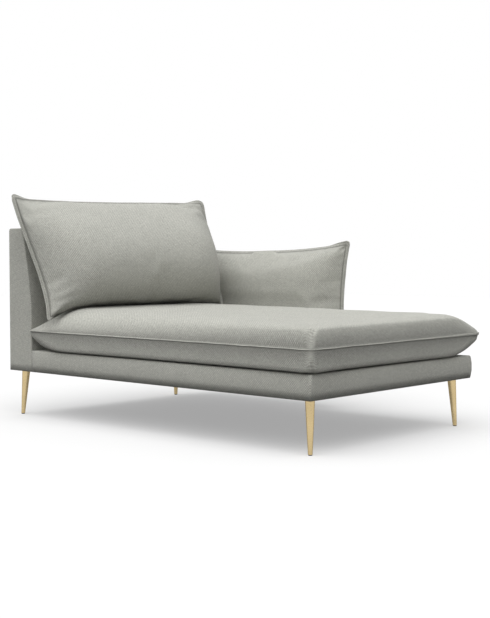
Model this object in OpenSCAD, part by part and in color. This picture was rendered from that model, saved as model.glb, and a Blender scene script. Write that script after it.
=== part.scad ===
// Chaise longue with one arm, a low back and loose cushions on four splayed brass legs.
// X runs across the seat towards the arm, Y from the foot end to the back, Z up from the floor.

/* [Base] */
// Width of the base across the seat
base_w = 960; // [900:5:1040]
// Length from the foot end to the rear of the back
base_l = 1540; // [1460:5:1640]
// Height of the upholstered base
base_h = 84; // [80:1:100]
// Radius of the two upright corners at the foot end
base_corner_r = 12; // [11:1:20]
// Radius of the base's top edge
base_edge_r = 8; // [5:0.5:10]

/* [Upholstery] */
// Thickness of the cover with its lining
cover_t = 2; // [1.5:0.5:3]
// Thickness of the wadding on the sides of the base and at the back's ends
wadding_t = 8; // [6:1:12]
// Thickness of the foam on the front of the back
back_foam_t = 20; // [14:1:26]
// Thickness of the black cloth under the frame
cloth_t = 1; // [0.5:0.5:2]
// Play between a soft piece and its neighbour
soft_gap = 0.3; // [0.2:0.1:0.6]

/* [Timber] */
// Thickness of the rails
rail_t = 28; // [24:1:34]
// Thickness of the back's and the arm's boards and upright ends
board_t = 22; // [18:1:26]
// Height of the cross rails under the webbing
cross_rail_h = 40; // [30:1:45]
// Number of cross rails
cross_rail_n = 2; // [1:1:4]
// Side of the corner blocks
block_w = 70; // [60:1:90]
// Thickness of the hardboard panels
panel_t = 3; // [2:0.5:4]

/* [Webbing] */
// Width of a webbing strap
web_w = 60; // [40:5:70]
// Thickness of a webbing strap
web_t = 2; // [1.5:0.5:2.5]
// Number of straps along the base
web_long_n = 5; // [3:1:7]
// Number of straps across the base
web_cross_n = 8; // [5:1:11]
// Number of upright straps in the back
back_web_up_n = 6; // [4:1:8]
// Number of level straps in the back
back_web_level_n = 2; // [1:1:3]

/* [Back] */
// Thickness of the back at the seat
back_t = 140; // [124:1:160]
// Thickness of the back at its top
back_top_t = 84; // [76:1:100]
// Height of the back above the base's underside
back_h = 565; // [520:5:620]
// Height above the base's underside where the front begins to slope
back_bend_h = 216; // [190:2:240]
// Radius of the back's top edges
back_edge_r = 10; // [6:1:16]

/* [Arm] */
// Thickness of the padded arm
arm_t = 138; // [128:1:150]
// Length of the arm from its front tip to its rear tip
arm_l = 920; // [860:5:980]
// Height of the arm's front tip above the base's underside
arm_h = 522; // [490:2:560]
// How far the arm's front edge is drawn in
arm_pull_front = 35; // [20:1:45]
// How far the arm's top edge is drawn in
arm_pull_top = 40; // [20:1:50]
// How much lower the arm's rear tip is than its front tip
arm_rear_drop = 20; // [0:1:30]
// Height of the arm's thickest level above the base's underside
arm_middle_h = 220; // [210:2:230]
// Width over which the arm rounds from its seam to its full thickness
arm_soft = 150; // [130:5:170]
// Section of the arm's timber frame across its thickness
arm_frame_t = 45; // [36:1:50]

/* [Seat cushion] */
// How far the seat cushion stands out past the base
seat_over = 22; // [12:1:30]
// Height of the seam above the base
seat_seam_h = 79; // [65:1:90]
// Height of the crown above the seam
seat_crown_h = 106; // [85:1:120]
// Extra rise at the middle of the seat
seat_dome_h = 5; // [0:1:10]
// How much lower the crown is at the foot end than at the back
seat_fall = 12; // [0:1:16]
// Width over which the top rounds up from the seam
seat_soft_top = 150; // [140:5:190]
// Width over which the top rounds up at the rear, where the back cushion presses it
seat_soft_rear = 190; // [160:5:200]
// Width over which the underside rounds down from the seam
seat_soft_under = 100; // [85:5:130]
// Radius of the seat cushion's corners in plan
seat_corner_r = 36; // [26:2:60]
// Width of the welt at the seam
seat_welt_w = 6; // [4:0.5:7]
// Thickness of the welt
seat_welt_t = 7; // [4:0.5:8]
// How far the foot end's far corner flares out in front of the arm
seat_flare = 30; // [0:1:34]

/* [Back cushion] */
// Distance of the back cushion's tips from the arm's face
bc_arm_gap = 5; // [3:1:12]
// Height of the back cushion along its lean
bc_h = 512; // [480:2:540]
// How far the back cushion stands out past the open side
bc_over = 50; // [30:1:55]
// Depth of the cushion in front of its seam
bc_front_d = 120; // [100:1:135]
// How much deeper the front hangs at the foot
bc_heavy = 30; // [0:1:36]
// Distance of the cushion's seam from the back, at the seat
bc_stand_off = 138; // [132:1:160]
// Lean of the cushion at the open side, in degrees
bc_lean = 22; // [18:0.5:22]
// Lean of the cushion at the arm, in degrees
bc_lean_arm = 15; // [12:0.5:18]
// How far the open side is drawn in at the foot of the cushion
bc_taper = 22; // [10:1:30]
// How far the open side is drawn in
bc_pull_side = 34; // [15:1:40]
// How far the top edge is drawn in
bc_pull_top = 14; // [6:1:20]
// How far the bottom edge is drawn up over the seat
bc_pull_foot = 38; // [30:1:40]

/* [Cushion seams] */
// Width of the flange round the back cushion and the arm
flange_w = 18; // [12:1:22]
// Thickness of a sewn flange
flange_t = 3; // [2:0.5:4]
// Radius of the corners of the back cushion and the arm
cushion_corner_r = 26; // [20:1:40]

/* [Zips] */
// Length of the zips
zip_l = 600; // [500:10:640]
// Width of a zip in the back cushion
zip_w = 24; // [18:1:30]

/* [Legs] */
// Height of the legs
leg_h = 180; // [150:5:200]
// Diameter of a leg at the top
leg_top_d = 32; // [28:0.5:36]
// Diameter of a leg at the floor
leg_foot_d = 14.5; // [13:0.5:20]
// How far a foot stands out from its top, each way
leg_splay = 10; // [6:1:16]
// Distance of a leg's top from the base's side
leg_side_in = 57; // [54:1:62]
// Distance of a front leg's top from the foot end
leg_foot_in = 48; // [46:1:54]
// Distance of a rear leg's top from the rear
leg_rear_in = 32; // [32:1:44]
// Side of a leg's steel plate
plate_w = 44; // [42:1:46]
// Thickness of a leg's steel plate
plate_t = 3; // [2:0.5:3]

/* [Fasteners] */
// Diameter of the threaded studs and bolts
bolt_d = 8; // [6:1:8]
// Diameter of the wood screws
screw_d = 4; // [3:0.5:4.5]
// Length of a wood screw
screw_l = 18; // [14:1:20]
// Running play round a stud, pin or screw
fit_play = 0.05; // [0.03:0.01:0.1]
// Clearance of a hole that a bolt passes through
hole_play = 1; // [0.5:0.25:1.5]

/* [Hidden] */

$fn = 48;
far = 2000;

fabric_colour = [0.60, 0.60, 0.57];
foam_colour = [0.93, 0.90, 0.78];
wadding_colour = [0.95, 0.95, 0.93];
timber_colour = [0.78, 0.63, 0.42];
web_colour = [0.35, 0.30, 0.25];
board_colour = [0.50, 0.36, 0.23];
cloth_colour = [0.12, 0.12, 0.13];
steel_colour = [0.70, 0.71, 0.73];
brass_colour = [0.86, 0.72, 0.42];
nylon_colour = [0.10, 0.10, 0.10];
zip_colour = [0.45, 0.45, 0.43];

// Levels above the floor
base_z = leg_h;
seat_z = base_z + base_h;
frame_z = base_z + cloth_t + plate_t;
layer_t = 2 * web_t + 0.2;
pad_z = base_z + base_h - cover_t - 7.4;
rail_top = pad_z - layer_t - 0.4;
rail_h = rail_top - frame_z;

// Places along and across the base
skin_t = cover_t + wadding_t;
unit_l = base_l - back_t;
inner_w = base_w - 2 * skin_t;
block_t = 24;

// The model's own centre, between the outermost cushion tip and the arm's outer face
x_low = -bc_over + bc_taper * cushion_corner_r / bc_h;
x_high = base_w + soft_gap + arm_t;
y_low = -seat_over;
y_high = base_l;

module placed() {
  translate([-(x_low + x_high) / 2, -(y_low + y_high) / 2, 0]) children();
}

// Profile of the back, seen from its end, in Y and Z
back_top = base_z + back_h;
bend_z = base_z + back_bend_h;
bend_power = 1.6;
bend_steps = 9;
function back_front_y(z) = unit_l
  + (z <= bend_z ? 0 : (back_t - back_top_t) * pow((z - bend_z) / (back_top - bend_z), bend_power));

function arc(c, r, from, to, n = 6) = [
  for (i = [0:n]) c + r * [cos(from + (to - from) * i / n), sin(from + (to - from) * i / n)]
];

// The profile drawn in by inset, from foot to top, with its two rounded top edges
function back_profile(inset, foot_z) =
  let (r = max(back_edge_r - inset, 1), top = back_top - inset, rear = base_l - inset)
  concat(
    [[unit_l + inset, foot_z]],
    [for (i = [0:bend_steps]) let (z = bend_z + (top - r - bend_z) * i / bend_steps)
      [back_front_y(z) + inset, z]],
    arc([back_front_y(top - r) + inset + r, top - r], r, 180, 90),
    arc([rear - r, top - r], r, 90, 0),
    [[rear, foot_z]]
  );

// The timber back's straight front line, behind the foam
frame_rear = base_l - cover_t - wadding_t + 1 - panel_t;
frame_front = unit_l + cover_t + back_foam_t;
frame_top = back_top - skin_t - 2;
frame_slope = (back_t - back_top_t) / (back_top - bend_z);
function frame_y(z) = frame_front + max(0, z - bend_z) * frame_slope;
frame_lean = atan(frame_slope);
board_z = frame_z + board_t;

module across(from, to) {
  translate([from, 0, 0]) rotate([90, 0, 90]) linear_extrude(to - from) children();
}

// Cushion forms: rings of points from the rear seam round to the front, closed at both middles
side_n = 7;
corner_n = 3;

// From -1 to 1 along a side, with the points closer together near the corners
function along(i) = -cos(180 * i / side_n);

// A rounded rectangle from a to b whose sides are drawn in by pull: right, top, left and foot
function outline(a, b, r, pull, foot_power = 2) =
  let (hx = (b.x - a.x) / 2 - r, hy = (b.y - a.y) / 2 - r, c = (a + b) / 2)
  concat(
    [for (i = [0:side_n - 1]) let (s = along(i))
      [b.x - pull[0] * (1 - s * s), c.y + s * hy]],
    [for (j = [0:corner_n - 1]) let (q = 90 * j / corner_n)
      [b.x - r + r * cos(q), b.y - r + r * sin(q)]],
    [for (i = [0:side_n - 1]) let (s = -along(i))
      [c.x + s * hx, b.y - pull[1] * (1 - s * s)]],
    [for (j = [0:corner_n - 1]) let (q = 90 + 90 * j / corner_n)
      [a.x + r + r * cos(q), b.y - r + r * sin(q)]],
    [for (i = [0:side_n - 1]) let (s = -along(i))
      [a.x + pull[2] * (1 - s * s), c.y + s * hy]],
    [for (j = [0:corner_n - 1]) let (q = 180 + 90 * j / corner_n)
      [a.x + r + r * cos(q), a.y + r + r * sin(q)]],
    [for (i = [0:side_n - 1]) let (s = along(i))
      [c.x + s * hx, a.y + pull[3] * (1 - pow(abs(s), foot_power))]],
    [for (j = [0:corner_n - 1]) let (q = 270 + 90 * j / corner_n)
      [b.x - r + r * cos(q), a.y + r + r * sin(q)]]
  );

// Rise from the seam, 0 at the seam and 1 at full depth
function rise(u, power) = 1 - pow(1 - u, power);

// Step k of n from the seam inwards, with the steps closer together near the seam
function step_u(k, n) = pow(k / n, 1.3);

// One ring: inset from the outline by edge plus the softness of each side.
// The corners grow rounder inwards by blunt, a share of the softness: that leaves pointed ears
function ring(a, b, r, pull, edge, soft, u, depth, foot_power, blunt) =
  let (
    low = a + [edge + soft[2] * u, edge + soft[3] * u],
    high = b - [edge + soft[0] * u, edge + soft[1] * u],
    ring_r = min(r + blunt * min(soft) * u, 0.45 * min(high.x - low.x, high.y - low.y)),
    side = 1 - 0.6 * u,
    foot = pow(1 - u, 2)
  )
  [for (p = outline(low, high, ring_r, [pull[0] * side, pull[1] * side, pull[2] * side, pull[3] * foot],
                    foot_power)) [p.x, p.y, depth]];

// Every ring of a cushion; back_u and front_u are the steps from the seam inwards
function cushion_rings(a, b, r, pull, edge, lip, back_half, front_half, steps,
                       foot_power = 2, blunt = 0.7) = concat(
  [for (k = [steps[0]:-1:0]) let (u = step_u(k, steps[0]), depth = back_half[0] * rise(u, back_half[2]))
    ring(a, b, r, pull, edge, back_half[1], u, -lip / 2 - depth, foot_power, blunt)],
  [for (side = edge > 0 && lip > 0 ? [-1, 1] : [])
    ring(a, b, r, pull, 0, back_half[1], 0, side * lip / 2, foot_power, blunt)],
  [for (k = [lip > 0 ? 0 : 1:steps[1]])
    let (u = step_u(k, steps[1]), depth = front_half[0] * rise(u, front_half[2]))
    ring(a, b, r, pull, edge, front_half[1], u, lip / 2 + depth, foot_power, blunt)]
);

// Rings behind and in front of the seam, on a cover's outside and on its hollow and filling
cover_steps = [4, 5];
hollow_steps = [3, 4];

// Closes a stack of rings; dome lifts the last middle above its ring
module skin(rings, place, dome = 0) {
  n = len(rings[0]);
  m = len(rings);
  first = ring_middle(rings[0]);
  last = ring_middle(rings[m - 1]) + [0, 0, dome];
  points = concat([place(first)], [for (r = rings) for (p = r) place(p)], [place(last)]);
  faces = concat(
    [for (i = [0:n - 1]) [0, 1 + i, 1 + (i + 1) % n]],
    [for (k = [0:m - 2]) for (i = [0:n - 1]) let (j = (i + 1) % n, c = 1 + k * n)
      [c + i, c + n + i, c + n + j]],
    [for (k = [0:m - 2]) for (i = [0:n - 1]) let (j = (i + 1) % n, c = 1 + k * n)
      [c + i, c + n + j, c + j]],
    [for (i = [0:n - 1]) let (c = 1 + (m - 1) * n) [1 + m * n, c + (i + 1) % n, c + i]]
  );
  polyhedron(points = points, faces = faces, convexity = 8);
}

function total(list, i = 0) = i == len(list) - 1 ? list[i] : list[i] + total(list, i + 1);
function ring_middle(r) = total(r) / len(r);

// Seat cushion, in plan
seat_seam_z = seat_z + seat_seam_h;
seat_a = [-seat_over, -seat_over];
seat_b = [base_w - 4, unit_l - 4];
seat_pull = [0, 0, 6, 6];
seat_top_d = seat_crown_h - seat_welt_t / 2;
seat_under_d = seat_seam_h - seat_welt_t / 2 - soft_gap;
seat_top_power = 2.2;
seat_under_power = 2.6;
seat_blunt = 0.1;
flare_l = 300;

function all_of(value, n) = [for (i = [1:n]) value];
function all_round(value) = all_of(value, 4);
function spread(from, to, n) = [for (i = [1:n]) from + (to - from) * i / (n + 1)];

// How much lower the top is at a height above the seam and a distance from the foot end
function seat_drop(y, z) =
  seat_fall * max(0, z) / seat_crown_h * (seat_b.y - y) / (seat_b.y - seat_a.y);

// The foot end's far corner flares out in front of the arm, and the top falls towards the foot end
seat_place = function(p)
  let (near = max(0, 1 - (p.y - seat_a.y) / flare_l), half = (seat_b.x - seat_a.x) / 2,
       side = max(0, (p.x - seat_a.x - half) / half))
  [p.x + seat_flare * near * near * side, p.y, seat_seam_z + p.z - seat_drop(p.y, p.z)];

// Height of the seat along its middle, at a distance from the foot end
function seat_top_at(y) =
  let (z = seat_welt_t / 2 + seat_top_d * lookup(
    (seat_b.y - seat_welt_w - y) / seat_soft_rear,
    [for (k = [0:cover_steps[1]]) let (u = step_u(k, cover_steps[1])) [u, rise(u, seat_top_power)]]))
  seat_seam_z + z - seat_drop(y, z);

module seat_form(edge, lip, less, steps) {
  skin(cushion_rings(seat_a, seat_b, seat_corner_r, seat_pull, edge, lip,
                     [seat_under_d - less, all_round(seat_soft_under), seat_under_power],
                     [seat_top_d - less, [seat_soft_top, seat_soft_rear, seat_soft_top, seat_soft_top],
                      seat_top_power],
                     steps, blunt = seat_blunt),
       seat_place, seat_dome_h);
}

// Back cushion, in its own leaning plane: X across, Y up the lean, Z forward
bc_w = bc_over + base_w - bc_arm_gap;
bc_foot_y = unit_l - bc_stand_off;
bc_foot_sag = 1.5;
bc_seat_z = seat_top_at(bc_foot_y - flange_t / 2) + soft_gap + bc_foot_sag;
bc_a = [-bc_over, -bc_pull_foot];
bc_b = bc_a + [bc_w, bc_h];
bc_pull = [4, bc_pull_top, bc_pull_side, bc_pull_foot];
bc_foot_power = 24;
bc_soft_front = [150, 165, 150, 70];
bc_soft_rear = [150, 150, 150, 110];
bc_rear_power = 2.2;

// The rear half swells until it all but meets the back
bc_rear_d = min([for (up = [0:5:bc_b.y - flange_w - 5])
  let (z = bc_seat_z + up * cos(bc_lean), u = min(1, (bc_b.y - flange_w - up) / bc_soft_rear[1]),
       room = back_front_y(min(z, back_top)) - bc_foot_y - up * sin(bc_lean) - flange_t / 2 - soft_gap)
  z < back_top ? room / rise(u, bc_rear_power) : bc_front_d]);

// The open side is drawn in towards the foot, and the front hangs deeper there
bc_place = function(p)
  let (across = (p.x - bc_a.x) / bc_w, lean = bc_lean - (bc_lean - bc_lean_arm) * across * across,
       down = 1 - (p.y - bc_a.y) / bc_h, open = max(0, 1 - 2 * across),
       heavy = bc_heavy * down * down * max(0, p.z) / bc_front_d)
  [p.x + bc_taper * open * down, bc_foot_y + p.y * sin(lean) - p.z - heavy, bc_seat_z + p.y * cos(lean)];

module back_form(edge, lip, less, steps) {
  skin(cushion_rings(bc_a, bc_b, cushion_corner_r, bc_pull, edge, lip,
                     [bc_rear_d - less, bc_soft_rear, bc_rear_power],
                     [bc_front_d - less, bc_soft_front, 2.3], steps, bc_foot_power),
       bc_place);
}

// A flat strip that follows a cushion's own form between two depths
module strip(a, b, depths, place) {
  skin([for (d = depths) [for (p = outline(a, b, 0.5, all_round(0))) [p.x, p.y, d]]], place);
}

// Arm, seen from the open side: X along the arm, Y up, Z outwards
arm_x = base_w + soft_gap;
arm_seam_x = arm_x + arm_t / 2;
arm_y = base_l - 3 - arm_l;
arm_middle_z = base_z + arm_middle_h;
arm_tip_z = base_z + arm_h;
arm_a = [arm_y, 2 * arm_middle_z - arm_tip_z];
arm_b = [arm_y + arm_l, arm_tip_z];
arm_pull = [16, arm_pull_top, arm_pull_front, 0];
arm_half_d = (arm_t - flange_t) / 2;

arm_place = function(p)
  let (along = max(0, (p.x - arm_y) / arm_l * 2 - 1), up = max(0, (p.y - arm_middle_z)),
       drop = arm_rear_drop * along * along * up / (arm_tip_z - arm_middle_z))
  [arm_seam_x + p.z, p.x, p.y - drop];

module arm_form(edge, lip, less, steps) {
  skin(cushion_rings(arm_a, arm_b, cushion_corner_r, arm_pull, edge, lip,
                     [arm_half_d - less, all_round(arm_soft), 2.2],
                     [arm_half_d - less, all_round(arm_soft), 2.2], steps),
       arm_place);
}

module above(z) {
  difference() {
    children();
    translate([-far, -far, z - far]) cube([2 * far, 2 * far, far]);
  }
}

// How far the hollow of a cover starts in from its seam, and how far its filling does
hollow_in = 6;
filling_in = hollow_in + 3;
filling_less = cover_t + 1;

// Timber inside the arm
arm_frame_inset = 49;
arm_nose = 35;
arm_padding_h = 72;
arm_frame_y0 = arm_y + arm_pull_front + arm_frame_inset + arm_nose;
arm_frame_y1 = arm_y + arm_l - 2 * arm_frame_inset;
arm_frame_top = arm_tip_z - arm_pull_top - arm_padding_h;
arm_post_w = 60;
arm_rail_h = 70;
arm_frame_x = arm_seam_x - arm_frame_t / 2;

// Bolt heads and the nuts in the far rails
head_t = 5;
head_d = 1.8 * bolt_d;
nut_t = 2;
nut_d = 2.6 * bolt_d;
nut_barrel_d = bolt_d + 3;
nut_barrel_l = 14;

// Fastener places: the arm's bolts stand beside the cross rails, within the arm's bottom rail
rail_bolt_z = frame_z + 34;
cross_rail_y = spread(skin_t + rail_t, unit_l - rail_t, cross_rail_n);
bolt_beside_rail = 80;
arm_bolt_y = [
  for (y = concat(cross_rail_y + all_of(-bolt_beside_rail, cross_rail_n),
                  cross_rail_y + all_of(bolt_beside_rail, cross_rail_n),
                  [unit_l - rail_t - bolt_beside_rail]))
    if (y > arm_frame_y0 + nut_d && y < arm_frame_y1 - nut_d) y
];
back_bolt_x = [base_w * 0.2, base_w * 0.5, base_w * 0.8];
rail_inner_x = base_w - skin_t - rail_t;
rail_inner_y = unit_l - rail_t;
arm_bolt_l = arm_frame_x + board_t - rail_inner_x;
back_bolt_l = frame_front + board_t - rail_inner_y;

module at_arm_bolts() {
  for (y = arm_bolt_y) translate([rail_inner_x, y, rail_bolt_z]) rotate([0, 90, 0]) children();
}

module at_back_bolts() {
  for (x = back_bolt_x) translate([x, rail_inner_y, back_bolt_z]) rotate([-90, 0, 0]) children();
}

back_bolt_z = board_z + 24;

module hole_for_bolt(length) {
  translate([0, 0, -1]) cylinder(d = bolt_d + 2 * hole_play, h = length + 2);
}

// A bolt's clearance hole, and at its far end a close one for the barrel of its nut
module hole_for_nut(length) {
  hole_for_bolt(length);
  translate([0, 0, length - nut_barrel_l - 0.5])
    cylinder(d = nut_barrel_d + 2 * fit_play, h = nut_barrel_l + 1);
}

// Rail screws run from the foot rail into the ends of the side rails
rail_screw_l = 70;
rail_screw_x = [skin_t + rail_t / 2, base_w - skin_t - rail_t / 2];
rail_screw_z = [frame_z + 16, rail_top - 16];

module at_rail_screws() {
  for (x = rail_screw_x) for (z = rail_screw_z)
    translate([x, skin_t, z]) rotate([-90, 0, 0]) children();
}

module countersunk(d, l) {
  cylinder(d1 = 2 * d, d2 = d, h = d / 2);
  cylinder(d = d, h = l);
}

module countersunk_hole(d, l) {
  translate([0, 0, -0.01]) cylinder(d1 = 2 * (d + 2 * fit_play), d2 = d + 2 * fit_play, h = d / 2 + 0.01);
  cylinder(d = d + 2 * fit_play, h = l + 0.5);
}

// Legs: tops, in plan, with the way each foot splays
leg_tops = [
  [leg_side_in, leg_foot_in, -1, -1],
  [base_w - leg_side_in, leg_foot_in, 1, -1],
  [leg_side_in, base_l - leg_rear_in, -1, 1],
  [base_w - leg_side_in, base_l - leg_rear_in, 1, 1]
];
leg_top_z = base_z + cloth_t;
leg_lean = atan(leg_splay * sqrt(2) / leg_top_z);
glide_h = 3;
glide_d = leg_foot_d - 1.5;
glide_pin_d = 5;
glide_pin_l = 9;
stud_in = 25;
stud_out = plate_t + 20;
plate_screw_in = 5;

module on_leg_axis(leg) {
  translate([leg[0], leg[1], leg_top_z]) rotate([0, -leg_lean, atan2(leg[3], leg[2])]) children();
}

module at_plate_screws() {
  at = plate_w / 2 - plate_screw_in;
  for (leg = leg_tops) for (sx = [-1, 1]) for (sy = [-1, 1])
    translate([leg[0] + sx * at, leg[1] + sy * at, leg_top_z]) children();
}

module stud_holes() {
  for (leg = leg_tops) on_leg_axis(leg)
    translate([0, 0, -1]) cylinder(d = bolt_d + 2 * hole_play, h = stud_out + 3);
}

module screw_holes() {
  at_plate_screws() cylinder(d = screw_d + 2 * fit_play, h = plate_t + screw_l + 1);
}

// Play between a strap and the leaning rails it is fixed to
web_play = 0.1;

// Woven straps: each strap runs over one strap and under the next
function strap_path(from, to, crossings, half, odd) = concat(
  [[from, 0]],
  [for (i = [0:len(crossings) - 1])
    let (level = (i + odd) % 2 == 0 ? web_t + 0.2 : 0)
    each [[crossings[i] - half - 1, level], [crossings[i] + half + 1, level]]],
  [[to, 0]]
);

module strap(path) {
  rotate([90, 0, 0]) linear_extrude(web_w, center = true)
    polygon(concat(path, [for (i = [len(path) - 1:-1:0]) path[i] + [0, web_t]]));
}

// A mat of straps over an opening from x0 to x1 and y0 to y1, with its ends on the rails
module mat(x0, x1, y0, y1, over_x, over_y, n_along, n_across) {
  xs = spread(x0, x1, n_along);
  ys = spread(y0, y1, n_across);
  for (j = [0:n_across - 1])
    translate([0, ys[j], 0]) strap(strap_path(x0 - over_x, x1 + over_x, xs, web_w / 2, j));
  for (i = [0:n_along - 1])
    translate([xs[i], 0, 0]) rotate([0, 0, 90])
      strap(strap_path(y0 - over_y, y1 + over_y, ys, web_w / 2, i + 1));
}

// Base
module base_edge_profile() {
  wall = base_corner_r;
  r = base_edge_r;
  translate([wall - cover_t, 0]) square([cover_t, base_h - r]);
  translate([wall - r, base_h - r]) intersection() {
    difference() {
      circle(r);
      circle(r - cover_t);
    }
    square(r);
  }
  translate([0, base_h - cover_t]) square([wall - r, cover_t]);
}

module base_cover_skin() {
  r = base_corner_r;
  translate([r, unit_l, 0]) rotate([90, 0, 180]) mirror([0, 0, 1])
    linear_extrude(unit_l - r) base_edge_profile();
  translate([base_w - r, r, 0]) rotate([90, 0, 0]) mirror([0, 0, 1])
    linear_extrude(unit_l - r) base_edge_profile();
  translate([r, r, 0]) rotate([90, 0, -90]) mirror([0, 0, 1])
    linear_extrude(base_w - 2 * r) base_edge_profile();
  translate([r, r, 0]) rotate([0, 0, 180]) rotate_extrude(angle = 90) base_edge_profile();
  translate([base_w - r, r, 0]) rotate([0, 0, 270]) rotate_extrude(angle = 90) base_edge_profile();
  translate([r, r, base_h - cover_t]) cube([base_w - 2 * r, unit_l - r, cover_t]);
}

module base_cover() {
  color(fabric_colour) placed() difference() {
    translate([0, 0, base_z]) base_cover_skin();
    at_arm_bolts() hole_for_bolt(arm_bolt_l);
  }
}

module base_wadding() {
  r = base_corner_r - cover_t;
  t = cover_t;
  color(wadding_colour) placed() difference() {
    translate([0, 0, leg_top_z]) linear_extrude(pad_z - 0.2 - leg_top_z) difference() {
      union() {
        translate([t, t + r]) square([base_w - 2 * t, unit_l - t - r]);
        translate([t + r, t]) square([base_w - 2 * (t + r), r]);
        for (x = [t + r, base_w - t - r]) translate([x, t + r]) circle(r);
      }
      translate([skin_t, skin_t]) square([inner_w, unit_l]);
    }
    at_arm_bolts() hole_for_bolt(arm_bolt_l);
  }
}

module platform_pad() {
  in = base_edge_r + 0.5;
  color(foam_colour) placed()
    translate([in, in, pad_z]) cube([base_w - 2 * in, unit_l - in, seat_z - cover_t - pad_z]);
}

module base_webbing() {
  in = skin_t + rail_t;
  color(web_colour) placed() translate([0, 0, rail_top])
    mat(in, base_w - in, in, unit_l - rail_t, rail_t - 2, rail_t - 2, web_long_n, web_cross_n);
}

module foot_rail() {
  color(timber_colour) placed() difference() {
    translate([skin_t, skin_t, frame_z]) cube([inner_w, rail_t, rail_h]);
    at_rail_screws() countersunk_hole(screw_d + 1, rail_screw_l);
    screw_holes();
    stud_holes();
  }
}

module side_rails() {
  color(timber_colour) placed() difference() {
    for (x = [skin_t, base_w - skin_t - rail_t])
      translate([x, skin_t + rail_t, frame_z]) cube([rail_t, unit_l - skin_t - 2 * rail_t, rail_h]);
    at_rail_screws() countersunk_hole(screw_d + 1, rail_screw_l);
    at_arm_bolts() hole_for_bolt(arm_bolt_l);
    screw_holes();
  }
}

module rear_rail() {
  color(timber_colour) placed() difference() {
    translate([skin_t, unit_l - rail_t, frame_z]) cube([inner_w, rail_t, rail_h]);
    at_back_bolts() hole_for_bolt(back_bolt_l);
  }
}

module cross_rails() {
  in = skin_t + rail_t;
  color(timber_colour) placed()
    for (y = cross_rail_y)
      translate([in, y - rail_t / 2, frame_z]) cube([base_w - 2 * in, rail_t, cross_rail_h]);
}

module corner_blocks() {
  in = skin_t + rail_t;
  color(timber_colour) placed() difference() {
    for (x = [in, base_w - in - block_w]) translate([x, in, frame_z]) cube([block_w, block_w, block_t]);
    screw_holes();
    stud_holes();
  }
}

module rail_screws() {
  color(steel_colour) placed() at_rail_screws() countersunk(screw_d + 1, rail_screw_l);
}

module dust_cloths() {
  wall = cover_t;
  color(cloth_colour) placed() difference() {
    union() {
      translate([wall, wall + base_corner_r, base_z])
        cube([base_w - 2 * wall, unit_l - wall - base_corner_r, cloth_t]);
      translate([wall + base_corner_r, wall, base_z])
        cube([base_w - 2 * (wall + base_corner_r), base_corner_r, cloth_t]);
      translate([wall, unit_l + wall, base_z]) cube([base_w - 2 * wall, back_t - 2 * wall, cloth_t]);
    }
    for (leg = leg_tops) translate([leg[0] - plate_w / 2 - 1, leg[1] - plate_w / 2 - 1, base_z - 1])
      cube([plate_w + 2, plate_w + 2, cloth_t + 2]);
  }
}

// Back
module back_cover() {
  color(fabric_colour) placed() difference() {
    across(cover_t, base_w - cover_t) difference() {
      polygon(back_profile(0, base_z));
      polygon(back_profile(cover_t, base_z - 1));
    }
    at_back_bolts() hole_for_bolt(back_bolt_l);
  }
}

module back_end_panels() {
  color(fabric_colour) placed() {
    across(0, cover_t) polygon(back_profile(0, base_z));
    across(base_w - cover_t, base_w) polygon(back_profile(0, base_z));
  }
}

module back_foam() {
  front = layer_t + 0.3;
  color(foam_colour) placed() difference() {
    across(cover_t, base_w - cover_t) polygon(back_profile(cover_t, leg_top_z));
    across(skin_t, base_w - skin_t) polygon([
      [frame_front, base_z - 1], [frame_front, bend_z - 3], [frame_front - front, bend_z],
      [frame_y(frame_top) - front, frame_top], [frame_rear + panel_t, frame_top],
      [frame_rear + panel_t, base_z - 1]
    ]);
    at_back_bolts() hole_for_bolt(back_bolt_l);
  }
}

module back_board() {
  color(board_colour) placed()
    translate([skin_t, frame_rear, frame_z]) cube([inner_w, panel_t, frame_top - frame_z]);
}

module back_posts() {
  color(timber_colour) placed()
    for (x = [skin_t, base_w - skin_t - board_t]) across(x, x + board_t) polygon([
      [frame_front, board_z], [frame_front, bend_z], [frame_y(frame_top), frame_top],
      [frame_rear, frame_top], [frame_rear, board_z]
    ]);
}

module back_rail(z0, z1, depth) {
  color(timber_colour) placed() across(skin_t + board_t, base_w - skin_t - board_t) polygon([
    [frame_y(z0), z0], [frame_y(z1), z1], [frame_y(z1) + depth, z1], [frame_y(z0) + depth, z0]
  ]);
}

back_rail_h = 56;
top_rail_h = 31;
top_rail_d = 40;

module back_top_rail() {
  back_rail(frame_top - top_rail_h, frame_top, top_rail_d);
}

module back_seat_rail() {
  back_rail(bend_z, bend_z + back_rail_h, board_t);
}

module back_lower_rail() {
  color(timber_colour) placed() difference() {
    translate([skin_t + board_t, frame_front, board_z])
      cube([inner_w - 2 * board_t, board_t, back_rail_h]);
    at_back_bolts() hole_for_nut(back_bolt_l);
  }
}

module back_bottom_board() {
  color(timber_colour) placed() difference() {
    translate([skin_t, frame_front, frame_z]) cube([inner_w, frame_rear - frame_front, board_t]);
    screw_holes();
    stud_holes();
  }
}

module back_webbing() {
  z0 = bend_z + back_rail_h;
  z1 = frame_top - top_rail_h;
  slope = 1 / cos(frame_lean);
  in = skin_t + board_t;
  color(web_colour) placed()
    translate([0, frame_y(z0) - web_play, z0]) rotate([90 - frame_lean, 0, 0])
      mat(in, base_w - in, 0, (z1 - z0) * slope, board_t - 2, board_t, back_web_up_n, back_web_level_n);
}

module bolt(length) {
  translate([0, 0, -head_t]) cylinder(d = head_d, h = head_t);
  cylinder(d = bolt_d, h = length);
}

module back_bolts() {
  color(steel_colour) placed() at_back_bolts() bolt(back_bolt_l);
}

module arm_bolts() {
  color(steel_colour) placed() at_arm_bolts() bolt(arm_bolt_l);
}

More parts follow.
